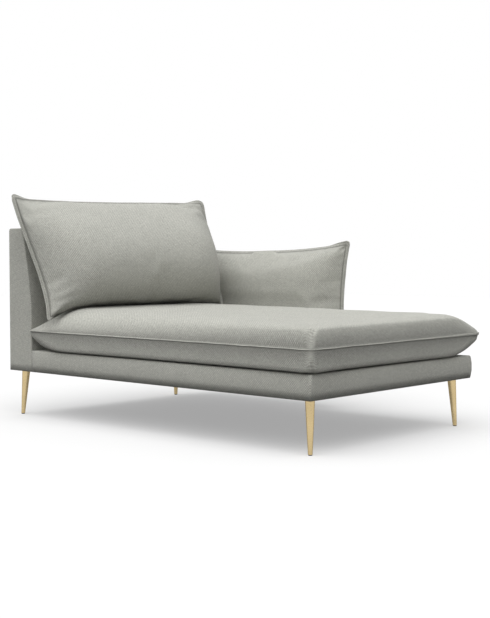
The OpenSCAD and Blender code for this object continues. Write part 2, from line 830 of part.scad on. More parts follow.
module tee_nut() {
  difference() {
    union() {
      cylinder(d = nut_d, h = nut_t);
      translate([0, 0, -nut_barrel_l]) cylinder(d = nut_barrel_d, h = nut_barrel_l);
    }
    translate([0, 0, -nut_barrel_l - 1]) cylinder(d = bolt_d + 2 * fit_play, h = nut_barrel_l + nut_t + 2);
  }
}

module tee_nuts() {
  color(steel_colour) placed() {
    at_arm_bolts() translate([0, 0, arm_bolt_l]) tee_nut();
    at_back_bolts() translate([0, 0, back_bolt_l]) tee_nut();
  }
}

// Arm
module arm_cover() {
  color(fabric_colour) placed() above(base_z) difference() {
    arm_form(flange_w, flange_t, 0, cover_steps);
    arm_form(flange_w + hollow_in, 0, cover_t, hollow_steps);
    at_arm_bolts() hole_for_bolt(arm_bolt_l);
  }
}

module arm_foam() {
  t = panel_t + soft_gap;
  color(foam_colour) placed() above(leg_top_z + soft_gap) difference() {
    arm_form(flange_w + filling_in, 0, filling_less, hollow_steps);
    translate([arm_frame_x - t, arm_frame_y0 - soft_gap, 0])
      cube([arm_frame_t + 2 * t, arm_frame_y1 - arm_frame_y0 + 2 * soft_gap, arm_frame_top + soft_gap]);
    at_arm_bolts() hole_for_bolt(arm_bolt_l);
  }
}

module arm_timber(y0, y1, z0, z1) {
  translate([arm_frame_x, y0, z0]) cube([arm_frame_t, y1 - y0, z1 - z0]);
}

module arm_posts() {
  color(timber_colour) placed() {
    arm_timber(arm_frame_y0, arm_frame_y0 + arm_post_w, frame_z + arm_rail_h, arm_frame_top);
    arm_timber(arm_frame_y1 - arm_post_w, arm_frame_y1, frame_z + arm_rail_h, arm_frame_top);
  }
}

module arm_top_rail() {
  color(timber_colour) placed()
    arm_timber(arm_frame_y0 + arm_post_w, arm_frame_y1 - arm_post_w,
               arm_frame_top - arm_rail_h / 2, arm_frame_top);
}

module arm_bottom_rail() {
  color(timber_colour) placed() difference() {
    translate([arm_frame_x, arm_frame_y0, frame_z])
      cube([board_t, arm_frame_y1 - arm_frame_y0, arm_rail_h]);
    at_arm_bolts() hole_for_nut(arm_bolt_l);
  }
}

module arm_panels() {
  color(board_colour) placed() difference() {
    for (x = [arm_frame_x - panel_t, arm_frame_x + arm_frame_t]) translate([x, arm_frame_y0, frame_z])
      cube([panel_t, arm_frame_y1 - arm_frame_y0, arm_frame_top - frame_z]);
    at_arm_bolts() hole_for_bolt(arm_bolt_l);
  }
}

module arm_dust_cloth() {
  color(cloth_colour) placed() intersection() {
    arm_form(flange_w + filling_in, 0, filling_less, hollow_steps);
    translate([arm_x, arm_y, base_z]) cube([arm_t, arm_l, cloth_t]);
  }
}

// Leg fittings
module leg_plates() {
  color(steel_colour) placed() difference() {
    for (leg = leg_tops) translate([leg[0] - plate_w / 2, leg[1] - plate_w / 2, leg_top_z])
      cube([plate_w, plate_w, plate_t]);
    screw_holes();
    for (leg = leg_tops) on_leg_axis(leg)
      translate([0, 0, -2]) cylinder(d = bolt_d + 2 * fit_play, h = plate_t + 4);
  }
}

module plate_screws() {
  color(steel_colour) placed() at_plate_screws() {
    translate([0, 0, -screw_d / 2]) cylinder(d = 2 * screw_d, h = screw_d / 2);
    cylinder(d = screw_d, h = plate_t + screw_l);
  }
}

module leg_studs() {
  color(steel_colour) placed() for (leg = leg_tops) on_leg_axis(leg)
    translate([0, 0, -stud_in]) cylinder(d = bolt_d, h = stud_in + stud_out);
}

// A tapered leg, cut level at its top and foot
module leg(which) {
  axis = leg_tops[which];
  spare = 12;
  length = leg_top_z / cos(leg_lean);
  slope = (leg_top_d - leg_foot_d) / 2 / length;
  color(brass_colour) placed() difference() {
    on_leg_axis(axis) translate([0, 0, -length - spare])
      cylinder(r1 = leg_foot_d / 2 - slope * spare, r2 = leg_top_d / 2 + slope * spare,
               h = length + 2 * spare);
    translate([0, 0, glide_h - far]) translate([-far / 2, -far / 2, 0]) cube([2 * far, 2 * far, far]);
    translate([-far / 2, -far / 2, leg_top_z]) cube([2 * far, 2 * far, far]);
    on_leg_axis(axis) translate([0, 0, -stud_in - 0.5]) cylinder(d = bolt_d + 2 * fit_play, h = stud_in + 4);
    translate([axis[0] + axis[2] * leg_splay, axis[1] + axis[3] * leg_splay, 0])
      cylinder(d = glide_pin_d + 2 * fit_play, h = glide_h + glide_pin_l + 0.5);
  }
}

module leg_open_front() {
  leg(0);
}

module leg_arm_front() {
  leg(1);
}

module leg_open_rear() {
  leg(2);
}

module leg_arm_rear() {
  leg(3);
}

module leg_glides() {
  color(nylon_colour) placed() for (leg = leg_tops)
    translate([leg[0] + leg[2] * leg_splay, leg[1] + leg[3] * leg_splay, 0]) {
      cylinder(d = glide_d, h = glide_h);
      cylinder(d = glide_pin_d, h = glide_h + glide_pin_l);
    }
}

// Loose cushions
zip_gap = 0.3;
seat_zip_deep = seat_welt_w + hollow_in - 0.5;
seat_zip_t = 2;
zip_x = base_w / 2;

module seat_zip_space(gap, deep) {
  t = seat_zip_t + 2 * gap;
  translate([zip_x - zip_l / 2 - gap, seat_b.y - deep, seat_seam_z - t / 2])
    cube([zip_l + 2 * gap, deep + 5 * gap, t]);
}

module seat_cushion_cover() {
  color(fabric_colour) placed() difference() {
    seat_form(seat_welt_w, seat_welt_t, 0, cover_steps);
    seat_form(seat_welt_w + hollow_in, 0, cover_t, hollow_steps);
    seat_zip_space(zip_gap, seat_zip_deep + 3);
  }
}

module seat_cushion_core() {
  color(foam_colour) placed() seat_form(seat_welt_w + filling_in, 0, filling_less, hollow_steps);
}

module seat_cushion_zip() {
  color(zip_colour) placed() seat_zip_space(0, seat_zip_deep);
}

bc_zip_a = [zip_x - zip_l / 2, bc_h * 0.4];
bc_zip_b = bc_zip_a + [zip_l, zip_w];

module back_cushion_cover() {
  gap = [zip_gap, zip_gap];
  color(fabric_colour) placed() difference() {
    back_form(flange_w, flange_t, 0, cover_steps);
    back_form(flange_w + hollow_in, 0, cover_t, hollow_steps);
    strip(bc_zip_a - gap, bc_zip_b + gap, [-bc_rear_d - 8, -bc_rear_d + cover_t + 4], bc_place);
  }
}

module back_cushion_core() {
  color(foam_colour) placed() back_form(flange_w + filling_in, 0, filling_less, hollow_steps);
}

module back_cushion_zip() {
  color(zip_colour) placed()
    strip(bc_zip_a, bc_zip_b, [-bc_rear_d - flange_t / 2, -bc_rear_d + cover_t - 0.3], bc_place);
}

base_cover();
base_wadding();
platform_pad();
base_webbing();
foot_rail();
side_rails();
rear_rail();
cross_rails();
corner_blocks();
rail_screws();
dust_cloths();
back_cover();
back_end_panels();
back_foam();
back_board();
back_posts();
back_top_rail();
back_seat_rail();
back_lower_rail();
back_bottom_board();
back_webbing();
back_bolts();
arm_cover();
arm_foam();
arm_posts();
arm_top_rail();
arm_bottom_rail();
arm_panels();
arm_dust_cloth();
arm_bolts();
tee_nuts();
leg_plates();
plate_screws();
leg_studs();
leg_open_front();
leg_arm_front();
leg_open_rear();
leg_arm_rear();
leg_glides();
seat_cushion_cover();
seat_cushion_core();
seat_cushion_zip();
back_cushion_cover();
back_cushion_core();
back_cushion_zip();
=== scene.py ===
"""A chaise longue with one arm: its upholstery, loose cushions, seams, fittings and stage.

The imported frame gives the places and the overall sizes. Pieces are built in metres, in the frame's
axes: X runs across the seat towards the arm, Y from the foot end to the back, Z up from the floor.
"""

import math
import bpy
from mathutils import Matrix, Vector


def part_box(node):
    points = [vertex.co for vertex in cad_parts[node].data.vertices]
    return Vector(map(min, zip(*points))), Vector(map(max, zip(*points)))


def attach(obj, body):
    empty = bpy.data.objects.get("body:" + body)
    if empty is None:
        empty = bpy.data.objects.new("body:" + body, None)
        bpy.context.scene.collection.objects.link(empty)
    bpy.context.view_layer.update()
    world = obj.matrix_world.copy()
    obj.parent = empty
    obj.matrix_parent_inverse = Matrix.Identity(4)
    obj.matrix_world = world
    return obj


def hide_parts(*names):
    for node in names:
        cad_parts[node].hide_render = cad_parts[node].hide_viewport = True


bl_info = {
    "name": "One-armed chaise longue",
    "version": (1, 0, 0),
    "blender": (4, 5, 0),
    "location": "View3D > Sidebar > Chaise",
    "description": "Builds the upholstery, cushions, seams and finishes of a one-armed chaise longue",
    "category": "Object",
}

import bmesh
import bpy
from bpy.props import FloatProperty, FloatVectorProperty, IntProperty, PointerProperty
from mathutils import Matrix, Vector, noise
from mathutils.bvhtree import BVHTree

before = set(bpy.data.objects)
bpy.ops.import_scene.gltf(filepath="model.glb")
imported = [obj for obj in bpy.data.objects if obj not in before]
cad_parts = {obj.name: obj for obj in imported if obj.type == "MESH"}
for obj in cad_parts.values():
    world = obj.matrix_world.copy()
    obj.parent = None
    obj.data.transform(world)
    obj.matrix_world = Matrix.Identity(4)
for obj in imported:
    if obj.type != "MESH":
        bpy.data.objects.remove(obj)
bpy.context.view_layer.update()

BASE_LOW, BASE_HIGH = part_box("base_cover")
_, BACK_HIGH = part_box("back_cover")
ARM_LOW, ARM_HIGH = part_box("arm_cover")
SEAT_LOW, SEAT_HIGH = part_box("seat_cushion_cover")

# The corner of the base at the foot end, on the open side: pieces are drawn from there
ORIGIN = Vector((BASE_LOW.x, BASE_LOW.y, 0))
BASE_WIDTH = BASE_HIGH.x - BASE_LOW.x
BASE_FOOT = BASE_LOW.z
SEAT_FLOOR = BASE_HIGH.z
REAR = BACK_HIGH.y - ORIGIN.y
BACK_TOP = BACK_HIGH.z

# How much wider than its seam a row of points may lie and still count as on it
SPARE = 0.0003
# How far off a plane a corner may lie and still count as on it
NEAR = 1e-4

# The back's depth at the seat and at its top, the height where its front begins to slope, how that
# slope curves, and the radius of its top edges
BACK_DEPTH = 0.140
BACK_TOP_DEPTH = 0.084
BACK_BEND = 0.216
BACK_CURVE = 1.6
BACK_ROUND = 0.010

# Folds that run out of a corner: start and end in the form's own plan, width and depth
ARM_FOLDS = (
    ((0.636, 0.676), (0.674, 0.638), 0.0060, 0.0030),
    ((0.640, 0.648), (0.664, 0.618), 0.0055, 0.0022),
)
CUSHION_FOLDS = (
    ((0.000, 0.100), (0.050, 0.165), 0.0080, 0.0016),
    ((0.000, 0.062), (0.060, 0.108), 0.0075, 0.0024),
    ((-0.006, 0.024), (0.085, 0.066), 0.0080, 0.0024),
)

# How the cover's cloth resists while it settles over its stuffing
CLOTH = {
    "quality": 6,
    "mass": 0.3,
    "tension_stiffness": 20,
    "compression_stiffness": 20,
    "shear_stiffness": 10,
    "bending_stiffness": 1.5,
}


def distance(name, description, default, least=0.0):
    """A length in metres that a user may change."""
    return FloatProperty(name=name, description=description, default=default, min=least,
                         subtype="DISTANCE", unit="LENGTH")


def colour(name, description, default):
    """A finish's colour that a user may change."""
    return FloatVectorProperty(name=name, description=description, default=default, size=3,
                               min=0, max=1, subtype="COLOR")


def angle(name, description, degrees):
    """An angle that a user may change."""
    return FloatProperty(name=name, description=description, default=math.radians(degrees),
                         subtype="ANGLE")


def amount(name, description, default):
    """A strength, or a size without a unit, that a user may change."""
    return FloatProperty(name=name, description=description, default=default, min=0)


class CHAISE_PG_upholstery(bpy.types.PropertyGroup):
    """Sizes that the fixed upholstery shares."""

    cloth_thickness: distance("Cover thickness", "Thickness of the fabric with its lining", 0.002)
    side_crown: distance("Side crown", "How far the padded sides of the base swell", 0.006)
    corner_radius: distance("Corner radius", "Radius of the base's upright corners", 0.005)
    top_radius: distance("Top edge radius", "Radius of the base's top edge", 0.006)
    back_crown: distance("Back crown", "How far the foam on the back's front swells", 0.002)
    back_edge: distance("Back edge radius", "Radius of the edges round the back's ends", 0.004)
    cell: distance("Panel cell", "Spacing of the cuts across the fixed panels", 0.03, 0.01)


class CHAISE_PG_cushions(bpy.types.PropertyGroup):
    """Sizes of the stuffed pieces."""

    cell: distance("Cloth cell", "Spacing of the cloth's points before it is subdivided", 0.013, 0.008)
    seat_seam: distance("Seat seam height", "Height of the seat cushion's seam above the base", 0.079)
    seat_crown: distance("Seat crown", "Height of the seat's crown above its seam", 0.092)
    seat_fall: distance("Seat fall", "How much lower the crown is at the foot end", 0.017)
    seat_dome: distance("Seat dome", "Extra rise at the middle of the seat", 0.002)
    seat_bulge: distance("Seat bulge", "How far the seat's sides bulge below their seam", 0.011)
    seat_droop: distance("Seat droop", "How far the seat's foot droops past the base's edge", 0.0055)
    seat_flare: distance("Seat flare", "How far the foot end's far corner flares out", 0.036)
    seat_corner: distance("Seat corner", "Radius of the seat's other corners", 0.016)
    seat_near_corner: distance("Near corner", "Radius of the corner of the open side and the foot", 0.050)
    welt: distance("Welt width", "How far the welt stands out from the seat's seam", 0.0036)
    flange: distance("Flange width", "Width of the flange round the back cushion and arm", 0.018)
    rim: distance("Flange rim", "Thickness of a flange at its turned rim", 0.005)
    hem: distance("Topstitching", "Distance of the topstitching from a flange's rim", 0.0062)
    back_front: distance("Back cushion front", "Depth of the back cushion before its seam", 0.185)
    back_rear: distance("Back cushion rear", "Depth of the back cushion behind its seam", 0.0703)
    back_sag: distance("Sag", "How far the back cushion's front sinks onto the seat", 0.012)
    corner: distance("Arm corner", "Radius of the arm's corners in plan", 0.026)
    back_corner: distance("Back corner", "Radius of the back cushion's corners in plan", 0.034)
    stitch: distance("Stitch pitch", "Distance from one stitch to the next", 0.0075, 0.003)
    uneven: distance("Unevenness", "How far the stuffing rises and falls under the cloth", 0.0016)
    pressure: amount("Stuffing pressure", "Pressure inside the cloth", 4.0)
    ease: FloatProperty(name="Fabric ease", description="Share by which the cloth is cut oversize",
                        default=0.012, min=0, max=0.1, subtype="FACTOR")
    frames: IntProperty(name="Frames", description="Frames over which the cloth settles",
                        default=20, min=1)


class CHAISE_PG_finishes(bpy.types.PropertyGroup):
    """Colours and weave of the finishes."""

    fabric: colour("Fabric", "Colour of the woven upholstery fabric", (0.40, 0.40, 0.362))
    brass: colour("Brass", "Colour of the lacquered brass legs", (0.62, 0.485, 0.265))
    # Painted reflection: this dark edge tint stands in for dark surroundings reflected at the legs'
    # sides.
    brass_edge_painted_reflection: colour("Brass edge", "Tint of the brass where it turns away", (0.30, 0.20, 0.09))
    timber: colour("Timber", "Colour of the softwood frame", (0.62, 0.44, 0.24))
    board: colour("Hardboard", "Colour of the hardboard panels", (0.22, 0.12, 0.06))
    strap: colour("Webbing", "Colour of the elastic webbing", (0.09, 0.075, 0.06))
    lining: colour("Underlining", "Colour of the cloth under the frame", (0.018, 0.018, 0.020))
    steel: colour("Steel", "Colour of the zinc-plated fasteners", (0.62, 0.63, 0.65))
    nylon: colour("Nylon", "Colour of the glides under the legs", (0.015, 0.015, 0.015))
    weave: distance("Weave pitch", "Width of one basket of yarns in the weave", 0.0043, 0.001)


class CHAISE_PG_stage(bpy.types.PropertyGroup):
    """The camera, the floor and the light."""

    camera_place: FloatVectorProperty(name="Camera place", description="Where the camera stands",
                                      default=(-3.33133, -2.99505, 0.63045), size=3,
                                      subtype="TRANSLATION", unit="LENGTH")
    camera_turn: angle("Camera turn", "Turn from the frame's length towards the arm", 48.185)
    camera_dip: angle("Camera dip", "How far the camera looks down", 2.571)
    lens: amount("Focal length", "Focal length in millimetres", 67.134)
    floor: colour("Floor", "Colour of the pale floor", (0.86, 0.86, 0.86))
    room: amount("Room light", "Strength of the even light from all round", 0.62)
    key: amount("Key light", "Strength of the soft light from above the open side", 2.95)
    key_height: angle("Key height", "Height of the key light over the horizon", 65)
    key_side: angle("Key side", "Turn of the key light from the foot end to the open side", 74)
    key_size: angle("Key size", "How wide the key light is", 80)


def at(x, y, z):
    """A place in the frame, from the base's corner at the foot end."""
    return ORIGIN + Vector((x, y, z))


def rise(u, power, fullness=1.0):
    """Share of the full depth at u of the way in from a seam. A fullness of 2 starts upright."""
    return (1 - (1 - min(max(u, 0), 1)) ** power) ** (1 / fullness)


def ease_in(value, low, high):
    """0 below low, 1 above high and smooth between."""
    u = min(max((value - low) / (high - low), 0), 1)
    return u * u * (3 - 2 * u)


def soft_least(a, b, sharpness):
    """The smaller of two shares, with a soft ridge where they are equal."""
    if a <= 0 or b <= 0:
        return 0
    return (a ** -sharpness + b ** -sharpness) ** (-1 / sharpness)


class Half:
    """One face of a stuffed form: its depth, and how it rises from the right, top, left and foot seams.

    soft is the width over which it rises from each seam, and power and full shape that rise. At a
    corner it is wider by ear_soft, with ear_power and no fullness: a flatter ear. The second value of
    ear_soft is for the corner of the left and the foot. slack is how much wider and rounder the rise
    at the left and right grows towards the top.
    """

    def __init__(self, deep, soft, power, full, ear_soft=(1.0, 1.0), ear_power=2.0, slack=0.0):
        self.deep = deep
        self.soft = soft
        self.power = power
        self.full = full
        self.ear_soft = ear_soft
        self.ear_power = ear_power
        self.slack = slack

    def rise_at(self, inner, seam, middle, near_corner, slack=1.0):
        """Share of the depth, this far in from a seam. middle is 0 at a corner and 1 away from it."""
        ear = self.ear_soft[near_corner]
        soft = self.soft[seam] * slack * (ear + (1 - ear) * middle)
        firm = 1 / (slack * slack)
        power = self.ear_power + (2 + (self.power - 2) * firm - self.ear_power) * middle
        return rise(inner / soft, power, 1 + (self.full[seam] - 1) * middle * firm)


class Form:
    """A stuffed form in its own plan: corners, draws, its two halves and the place that it takes.

    corner is the corners' radius, or that and the one of the corner of the left and the foot. The
    draws are those of the right, top, left and foot: low_draw takes the left's towards the foot,
    top_draw_right takes the right's towards the top, and foot_power shapes the foot's on its right
    and on its left. edge is the seam's own profile: distances in from the outer edge, half a
    thickness there, and how much painted shade darkens the cloth there, deepest in the stitching.
    dome is an extra rise in the middle of the front. sharpness is that of the ridges between the
    sides; without one, the sides blend in a soft dome. ears is how far from a corner its ear ends,
    the second value for the corner of the left and the foot.
    """

    def __init__(self, low, high, corner, draws, edge, front, rear, place, foot_power=(2, 2),
                 low_draw=0.0, top_draw_right=0.0, dome=0.0, sharpness=0, ears=(0.130, 0.130)):
        self.middle = (Vector(low) + Vector(high)) / 2
        self.half = (Vector(high) - Vector(low)) / 2
        self.corners = corner if isinstance(corner, tuple) else (corner, corner)
        self.draws = draws
        self.edge = edge
        self.halves = {1: front, -1: rear}
        self.place = place
        self.foot_power = foot_power
        self.low_draw = low_draw
        self.top_draw_right = top_draw_right
        self.dome = dome
        self.sharpness = sharpness
        self.ears = ears

    def plan(self, s, t):
        """The place in plan of a point of the panel, s and t each from -1 to 1."""
        x, y = abs(s) * self.half.x, abs(t) * self.half.y
        r = self.corners[s < 0 and t < 0]
        u, v = (x - self.half.x + r) / r, (y - self.half.y + r) / r
        if u > 0 and v > 0:
            # The square of the corner is carried onto a quarter of a disc
            x += r * u * (math.sqrt(1 - v * v / 2) - 1)
            y += r * v * (math.sqrt(1 - u * u / 2) - 1)
        right, top, left, foot = self.draws
        lower, upper = (1 - t) ** self.low_draw, (1 + t) ** self.top_draw_right
        x -= (right * upper if s > 0 else left * lower) * (1 - t * t) * s * s
        foot_line = 1 - abs(s) ** self.foot_power[s <= 0]
        y -= (top * (1 - s * s) if t > 0 else foot * foot_line) * t * t
        return self.middle.x + math.copysign(x, s), self.middle.y + math.copysign(y, t)

    def from_edges(self, s, t):
        """How far in from its nearer edge a point of the panel lies, across and along."""
        return self.half.x * (1 - abs(s)), self.half.y * (1 - abs(t))

    def depth(self, s, t, side):
        """The height above the seam's plane of a point of the panel on one side."""
        ex, ey = self.from_edges(s, t)
        width, lip, _ = self.edge[-1]
        if min(ex, ey) < width:
            return table(self.edge, min(ex, ey))[0]
        half = self.halves[side]
        near_corner = s < 0 and t < 0
        ear_tip, ear_end = 0.015, self.ears[near_corner]
        across = half.rise_at(ex - width, 0 if s > 0 else 2, ease_in(ey, ear_tip, ear_end), near_corner,
                              1 + half.slack * (1 + t) / 2)
        up = half.rise_at(ey - width, 1 if t > 0 else 3, ease_in(ex, ear_tip, ear_end), near_corner)
        if self.sharpness:
            share = soft_least(across, up, self.sharpness)
        else:
            share = across * up / max(across + up - across * up, 1e-6)
        full = lip + (half.deep - lip) * share
        return full + (self.dome * (1 - s * s) * (1 - t * t) if side > 0 else 0)

    def point(self, s, t, side):
        """The place in the frame of a point of the panel."""
        x, y = self.plan(s, t)
        return self.place(x, y, side * self.depth(s, t, side))

    def lines(self, half, cell):
        """Grid lines from -1 to 1 along a side: the seam's own, then closer near the seam."""
        seam = [row[0] for row in self.edge]
        inner = half - seam[-1]
        count = max(4, round(2 * inner / cell))
        crowding = 0.42 * math.pi
        between = [inner * math.sin(crowding * (2 * k / count - 1)) / math.sin(crowding)
                   for k in range(1, count)]
        low = [d - half for d in seam]
        return [p / half for p in low + between + [-p for p in reversed(low)]]

    def seam_row(self, inset, side, step):
        """Points round the form at one distance in from its edge, step apart, as the frame sees them."""
        s, t = 1 - inset / self.half.x, 1 - inset / self.half.y
        corners = [(-s, -t), (s, -t), (s, t), (-s, t), (-s, -t)]
        fine = 240
        walk = []
        for a, b in zip(corners, corners[1:]):
            walk += [self.point(a[0] + (b[0] - a[0]) * k / fine, a[1] + (b[1] - a[1]) * k / fine, side)
                     for k in range(fine)]
        row, run = [walk[0]], 0.0
        for a, b in zip(walk, walk[1:]):
            run += (b - a).length
            if run >= step:
                row.append(b)
                run -= step
        return row


def table(rows, value):
    """Reads what lies between rows that rise in their first number."""
    for (a, *first), (b, *second) in zip(rows, rows[1:]):
        if value <= b:
            share = (value - a) / (b - a)
            return [p + (q - p) * share for p, q in zip(first, second)]
    return rows[-1][1:]


def lengths_along(points):
    """Length from the middle point of a row to each of its points."""
    run = [0.0]
    for a, b in zip(points, points[1:]):
        run.append(run[-1] + (b - a).length)
    return [r - run[len(run) // 2] for r in run]


def stuffed(form, cell):
    """A closed cushion of two grids joined at their rim.

    Every point keeps its plan and side, how far in from the edge it lies, and its seam's painted shade.
    """
    columns, rows = form.lines(form.half.x, cell), form.lines(form.half.y, cell)
    bm = bmesh.new()
    plan = bm.verts.layers.float_vector.new("plan")
    inset = bm.verts.layers.float.new("inset")
    # The seam layer holds painted shade: how far the cloth's colour darkens in the stitching grooves.
    seam = bm.verts.layers.float.new("seam")
    flat = bm.loops.layers.uv.new("flat")
    for side in (1, -1):
        arc_x = lengths_along([form.point(s, 0, side) for s in columns])
        arc_y = lengths_along([form.point(0, t, side) for t in rows])
        made = bmesh.ops.create_grid(bm, x_segments=len(columns) - 1, y_segments=len(rows) - 1, size=1)
        cloth = {}
        for v in made["verts"]:
            i = round((v.co.x + 1) / 2 * (len(columns) - 1))
            j = round((v.co.y + 1) / 2 * (len(rows) - 1))
            s, t = columns[i], rows[j]
            v[plan] = (*form.plan(s, t), side)
            v[inset] = min(form.from_edges(s, t))
            # Painted shade for the seam grooves, read from the third values of the edge profile.
            v[seam] = table(form.edge, v[inset])[1] if v[inset] < form.edge[-1][0] + SPARE else 0.0
            v.co = form.point(s, t, side)
            cloth[v] = (arc_x[i], arc_y[j])
        for face in {f for v in made["verts"] for f in v.link_faces}:
            for loop in face.loops:
                loop[flat].uv = cloth[loop.vert]
    bmesh.ops.remove_doubles(bm, verts=bm.verts[:], dist=1e-6)
    bmesh.ops.recalc_face_normals(bm, faces=bm.faces[:])
    return bm


def piece_of(name, bm, material, smooth=True):
    """Makes a finished object of a bmesh, with its place in its mesh."""
    mesh = bpy.data.meshes.new(name)
    for face in bm.faces:
        face.smooth = smooth
    bm.to_mesh(mesh)
    bm.free()
    mesh.materials.append(material)
    piece = bpy.data.objects.new(name, mesh)
    bpy.context.scene.collection.objects.link(piece)
    return piece


def apply_modifiers(piece):
    """Puts the piece's modifiers into its mesh."""
    graph = bpy.context.evaluated_depsgraph_get()
    graph.update()
    made = bpy.data.meshes.new_from_object(piece.evaluated_get(graph))
    old = piece.data
    piece.modifiers.clear()
    piece.data = made
    made.name = piece.name
    bpy.data.meshes.remove(old)


def swell(piece, pinned, sizes, cap):
    """Lets the cloth settle over its stuffing, held at its seams, and keeps each point within cap."""
    scene = bpy.context.scene
    start = [v.co.copy() for v in piece.data.vertices]
    pins = piece.vertex_groups.new(name="seams")
    pins.add(pinned, 1.0, "REPLACE")
    cloth = piece.modifiers.new("cloth", "CLOTH")
    for name, value in CLOTH.items():
        setattr(cloth.settings, name, value)
    cloth.settings.vertex_group_mass = pins.name
    cloth.settings.use_pressure = True
    cloth.settings.uniform_pressure_force = sizes.pressure
    cloth.settings.shrink_min = -sizes.ease
    cloth.settings.effector_weights.gravity = 0
    cloth.collision_settings.use_collision = False
    for number in range(1, sizes.frames + 1):
        scene.frame_set(number)
    apply_modifiers(piece)
    scene.frame_set(1)
    for v, before in zip(piece.data.vertices, start):
        moved = v.co - before
        v.co = before + moved * min(1, cap / max(moved.length, 1e-9))
    piece.vertex_groups.clear()


def subdivide(piece):
    """Subdivides a piece smoothly, once and for good."""
    finer = piece.modifiers.new("finer", "SUBSURF")
    finer.levels = finer.render_levels = 1
    apply_modifiers(piece)


def kept_on(piece, name, field="value"):
    """What each vertex of a piece keeps under a name."""
    return [getattr(k, field) for k in piece.data.attributes[name].data]


def pinned_at(piece, width):
    """Vertices of the seam out to its rim, which the stuffing doesn't move."""
    return [i for i, inset in enumerate(kept_on(piece, "inset")) if inset < width + SPARE]


def crease_depth(x, y, folds):
    """How far the cloth is pulled in at a place in plan, under folds that run out of a corner.

    A fold is its start, its end, its width and its depth: a valley with a low bank on either side.
    """
    before, past = -0.3, 1.2
    bank_height, bank_place = 0.55, 1.9
    total = 0.0
    for (ax, ay), (bx, by), width, deep in folds:
        run = Vector((bx - ax, by - ay))
        off = Vector((x - ax, y - ay))
        along = off.dot(run) / run.length_squared
        if not before < along < past:
            continue
        across = (off - run * min(max(along, 0), 1)).length / width
        fade = ease_in(along, before, 0.25) * (1 - ease_in(along, 0.35, past))
        valley = math.exp(-across * across)
        bank = bank_height * math.exp(-(across - bank_place) ** 2)
        total += deep * fade * (valley - bank)
    return total


def rumple(piece, sizes, flange, folds, side_of_folds, sway):
    """Adds what stuffing leaves: slow unevenness, puckers by the seam, folds and a wavy flange.

    sway is the direction in which a flange waves.
    """
    plans = [p.copy() for p in kept_on(piece, "plan", "vector")]
    insets = kept_on(piece, "inset")
    normals = [v.normal.copy() for v in piece.data.vertices]
    wave_depth, wave_scale = 0.0022, 17
    slow_scale, slow_width = 9, 0.08
    pucker_depth, pucker_scale, pucker_width = 0.0011, 60, 0.03
    held_width = 0.012
    for v, plan, inset, normal in zip(piece.data.vertices, plans, insets, normals):
        if inset < flange + SPARE:
            wave = noise.noise(Vector((plan.x, plan.y, 0)) * wave_scale)
            v.co += sway * (wave_depth * wave * (1 - inset / flange))
            continue
        inner = inset - flange
        free = rise(inner / held_width, 2)
        slow = sizes.uneven * noise.noise(plan * slow_scale) * rise(inner / slow_width, 2)
        pucker = pucker_depth * noise.noise(plan * pucker_scale) * free * math.exp(-inner / pucker_width)
        pulled = crease_depth(plan.x, plan.y, folds) if plan.z * side_of_folds > 0 else 0.0
        v.co += normal * (slow + pucker - pulled * free)


def merge_into(whole, part):
    """Adds one bmesh to another and frees it."""
    kept = bpy.data.meshes.new("part")
    part.to_mesh(kept)
    part.free()
    whole.from_mesh(kept)
    bpy.data.meshes.remove(kept)


def repeated(places, make):
    """Makes a small shape at every place, a few dozen at a time so that it stays quick."""
    batch = 40
    whole = bmesh.new()
    for first in range(0, len(places), batch):
        some = bmesh.new()
        for place in places[first:first + batch]:
            make(some, place)
        merge_into(whole, some)
    return whole


def stitching(name, piece, form, sizes, body, above=0.0):
    """Lays a row of stitches on both faces of a piece's flange, where that is above a height."""
    cloth = BVHTree.FromObject(piece, bpy.context.evaluated_depsgraph_get())
    places = []
    thread, above_cloth, length = 0.00045, 0.4, sizes.stitch * 0.36
    for side in (1, -1):
        row = [p for p in form.seam_row(sizes.hem, side, sizes.stitch) if p.z > above]
        for a, b in zip(row, row[1:]):
            if (b - a).length > 2 * sizes.stitch:
                continue
            spot, normal, _, _ = cloth.find_nearest((a + b) / 2)
            way = (b - a).normalized().to_track_quat("Z", "Y").to_matrix().to_4x4()
            size = Matrix.Diagonal((thread, thread, length, 1))
            places.append(Matrix.Translation(spot + normal * thread * above_cloth) @ way @ size)

    def stitch(bm, place):
        bmesh.ops.create_uvsphere(bm, u_segments=6, v_segments=4, radius=1, matrix=place)

    sewn = piece_of(name, repeated(places, stitch), bpy.data.materials["sewing_thread"])
    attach(sewn, body)


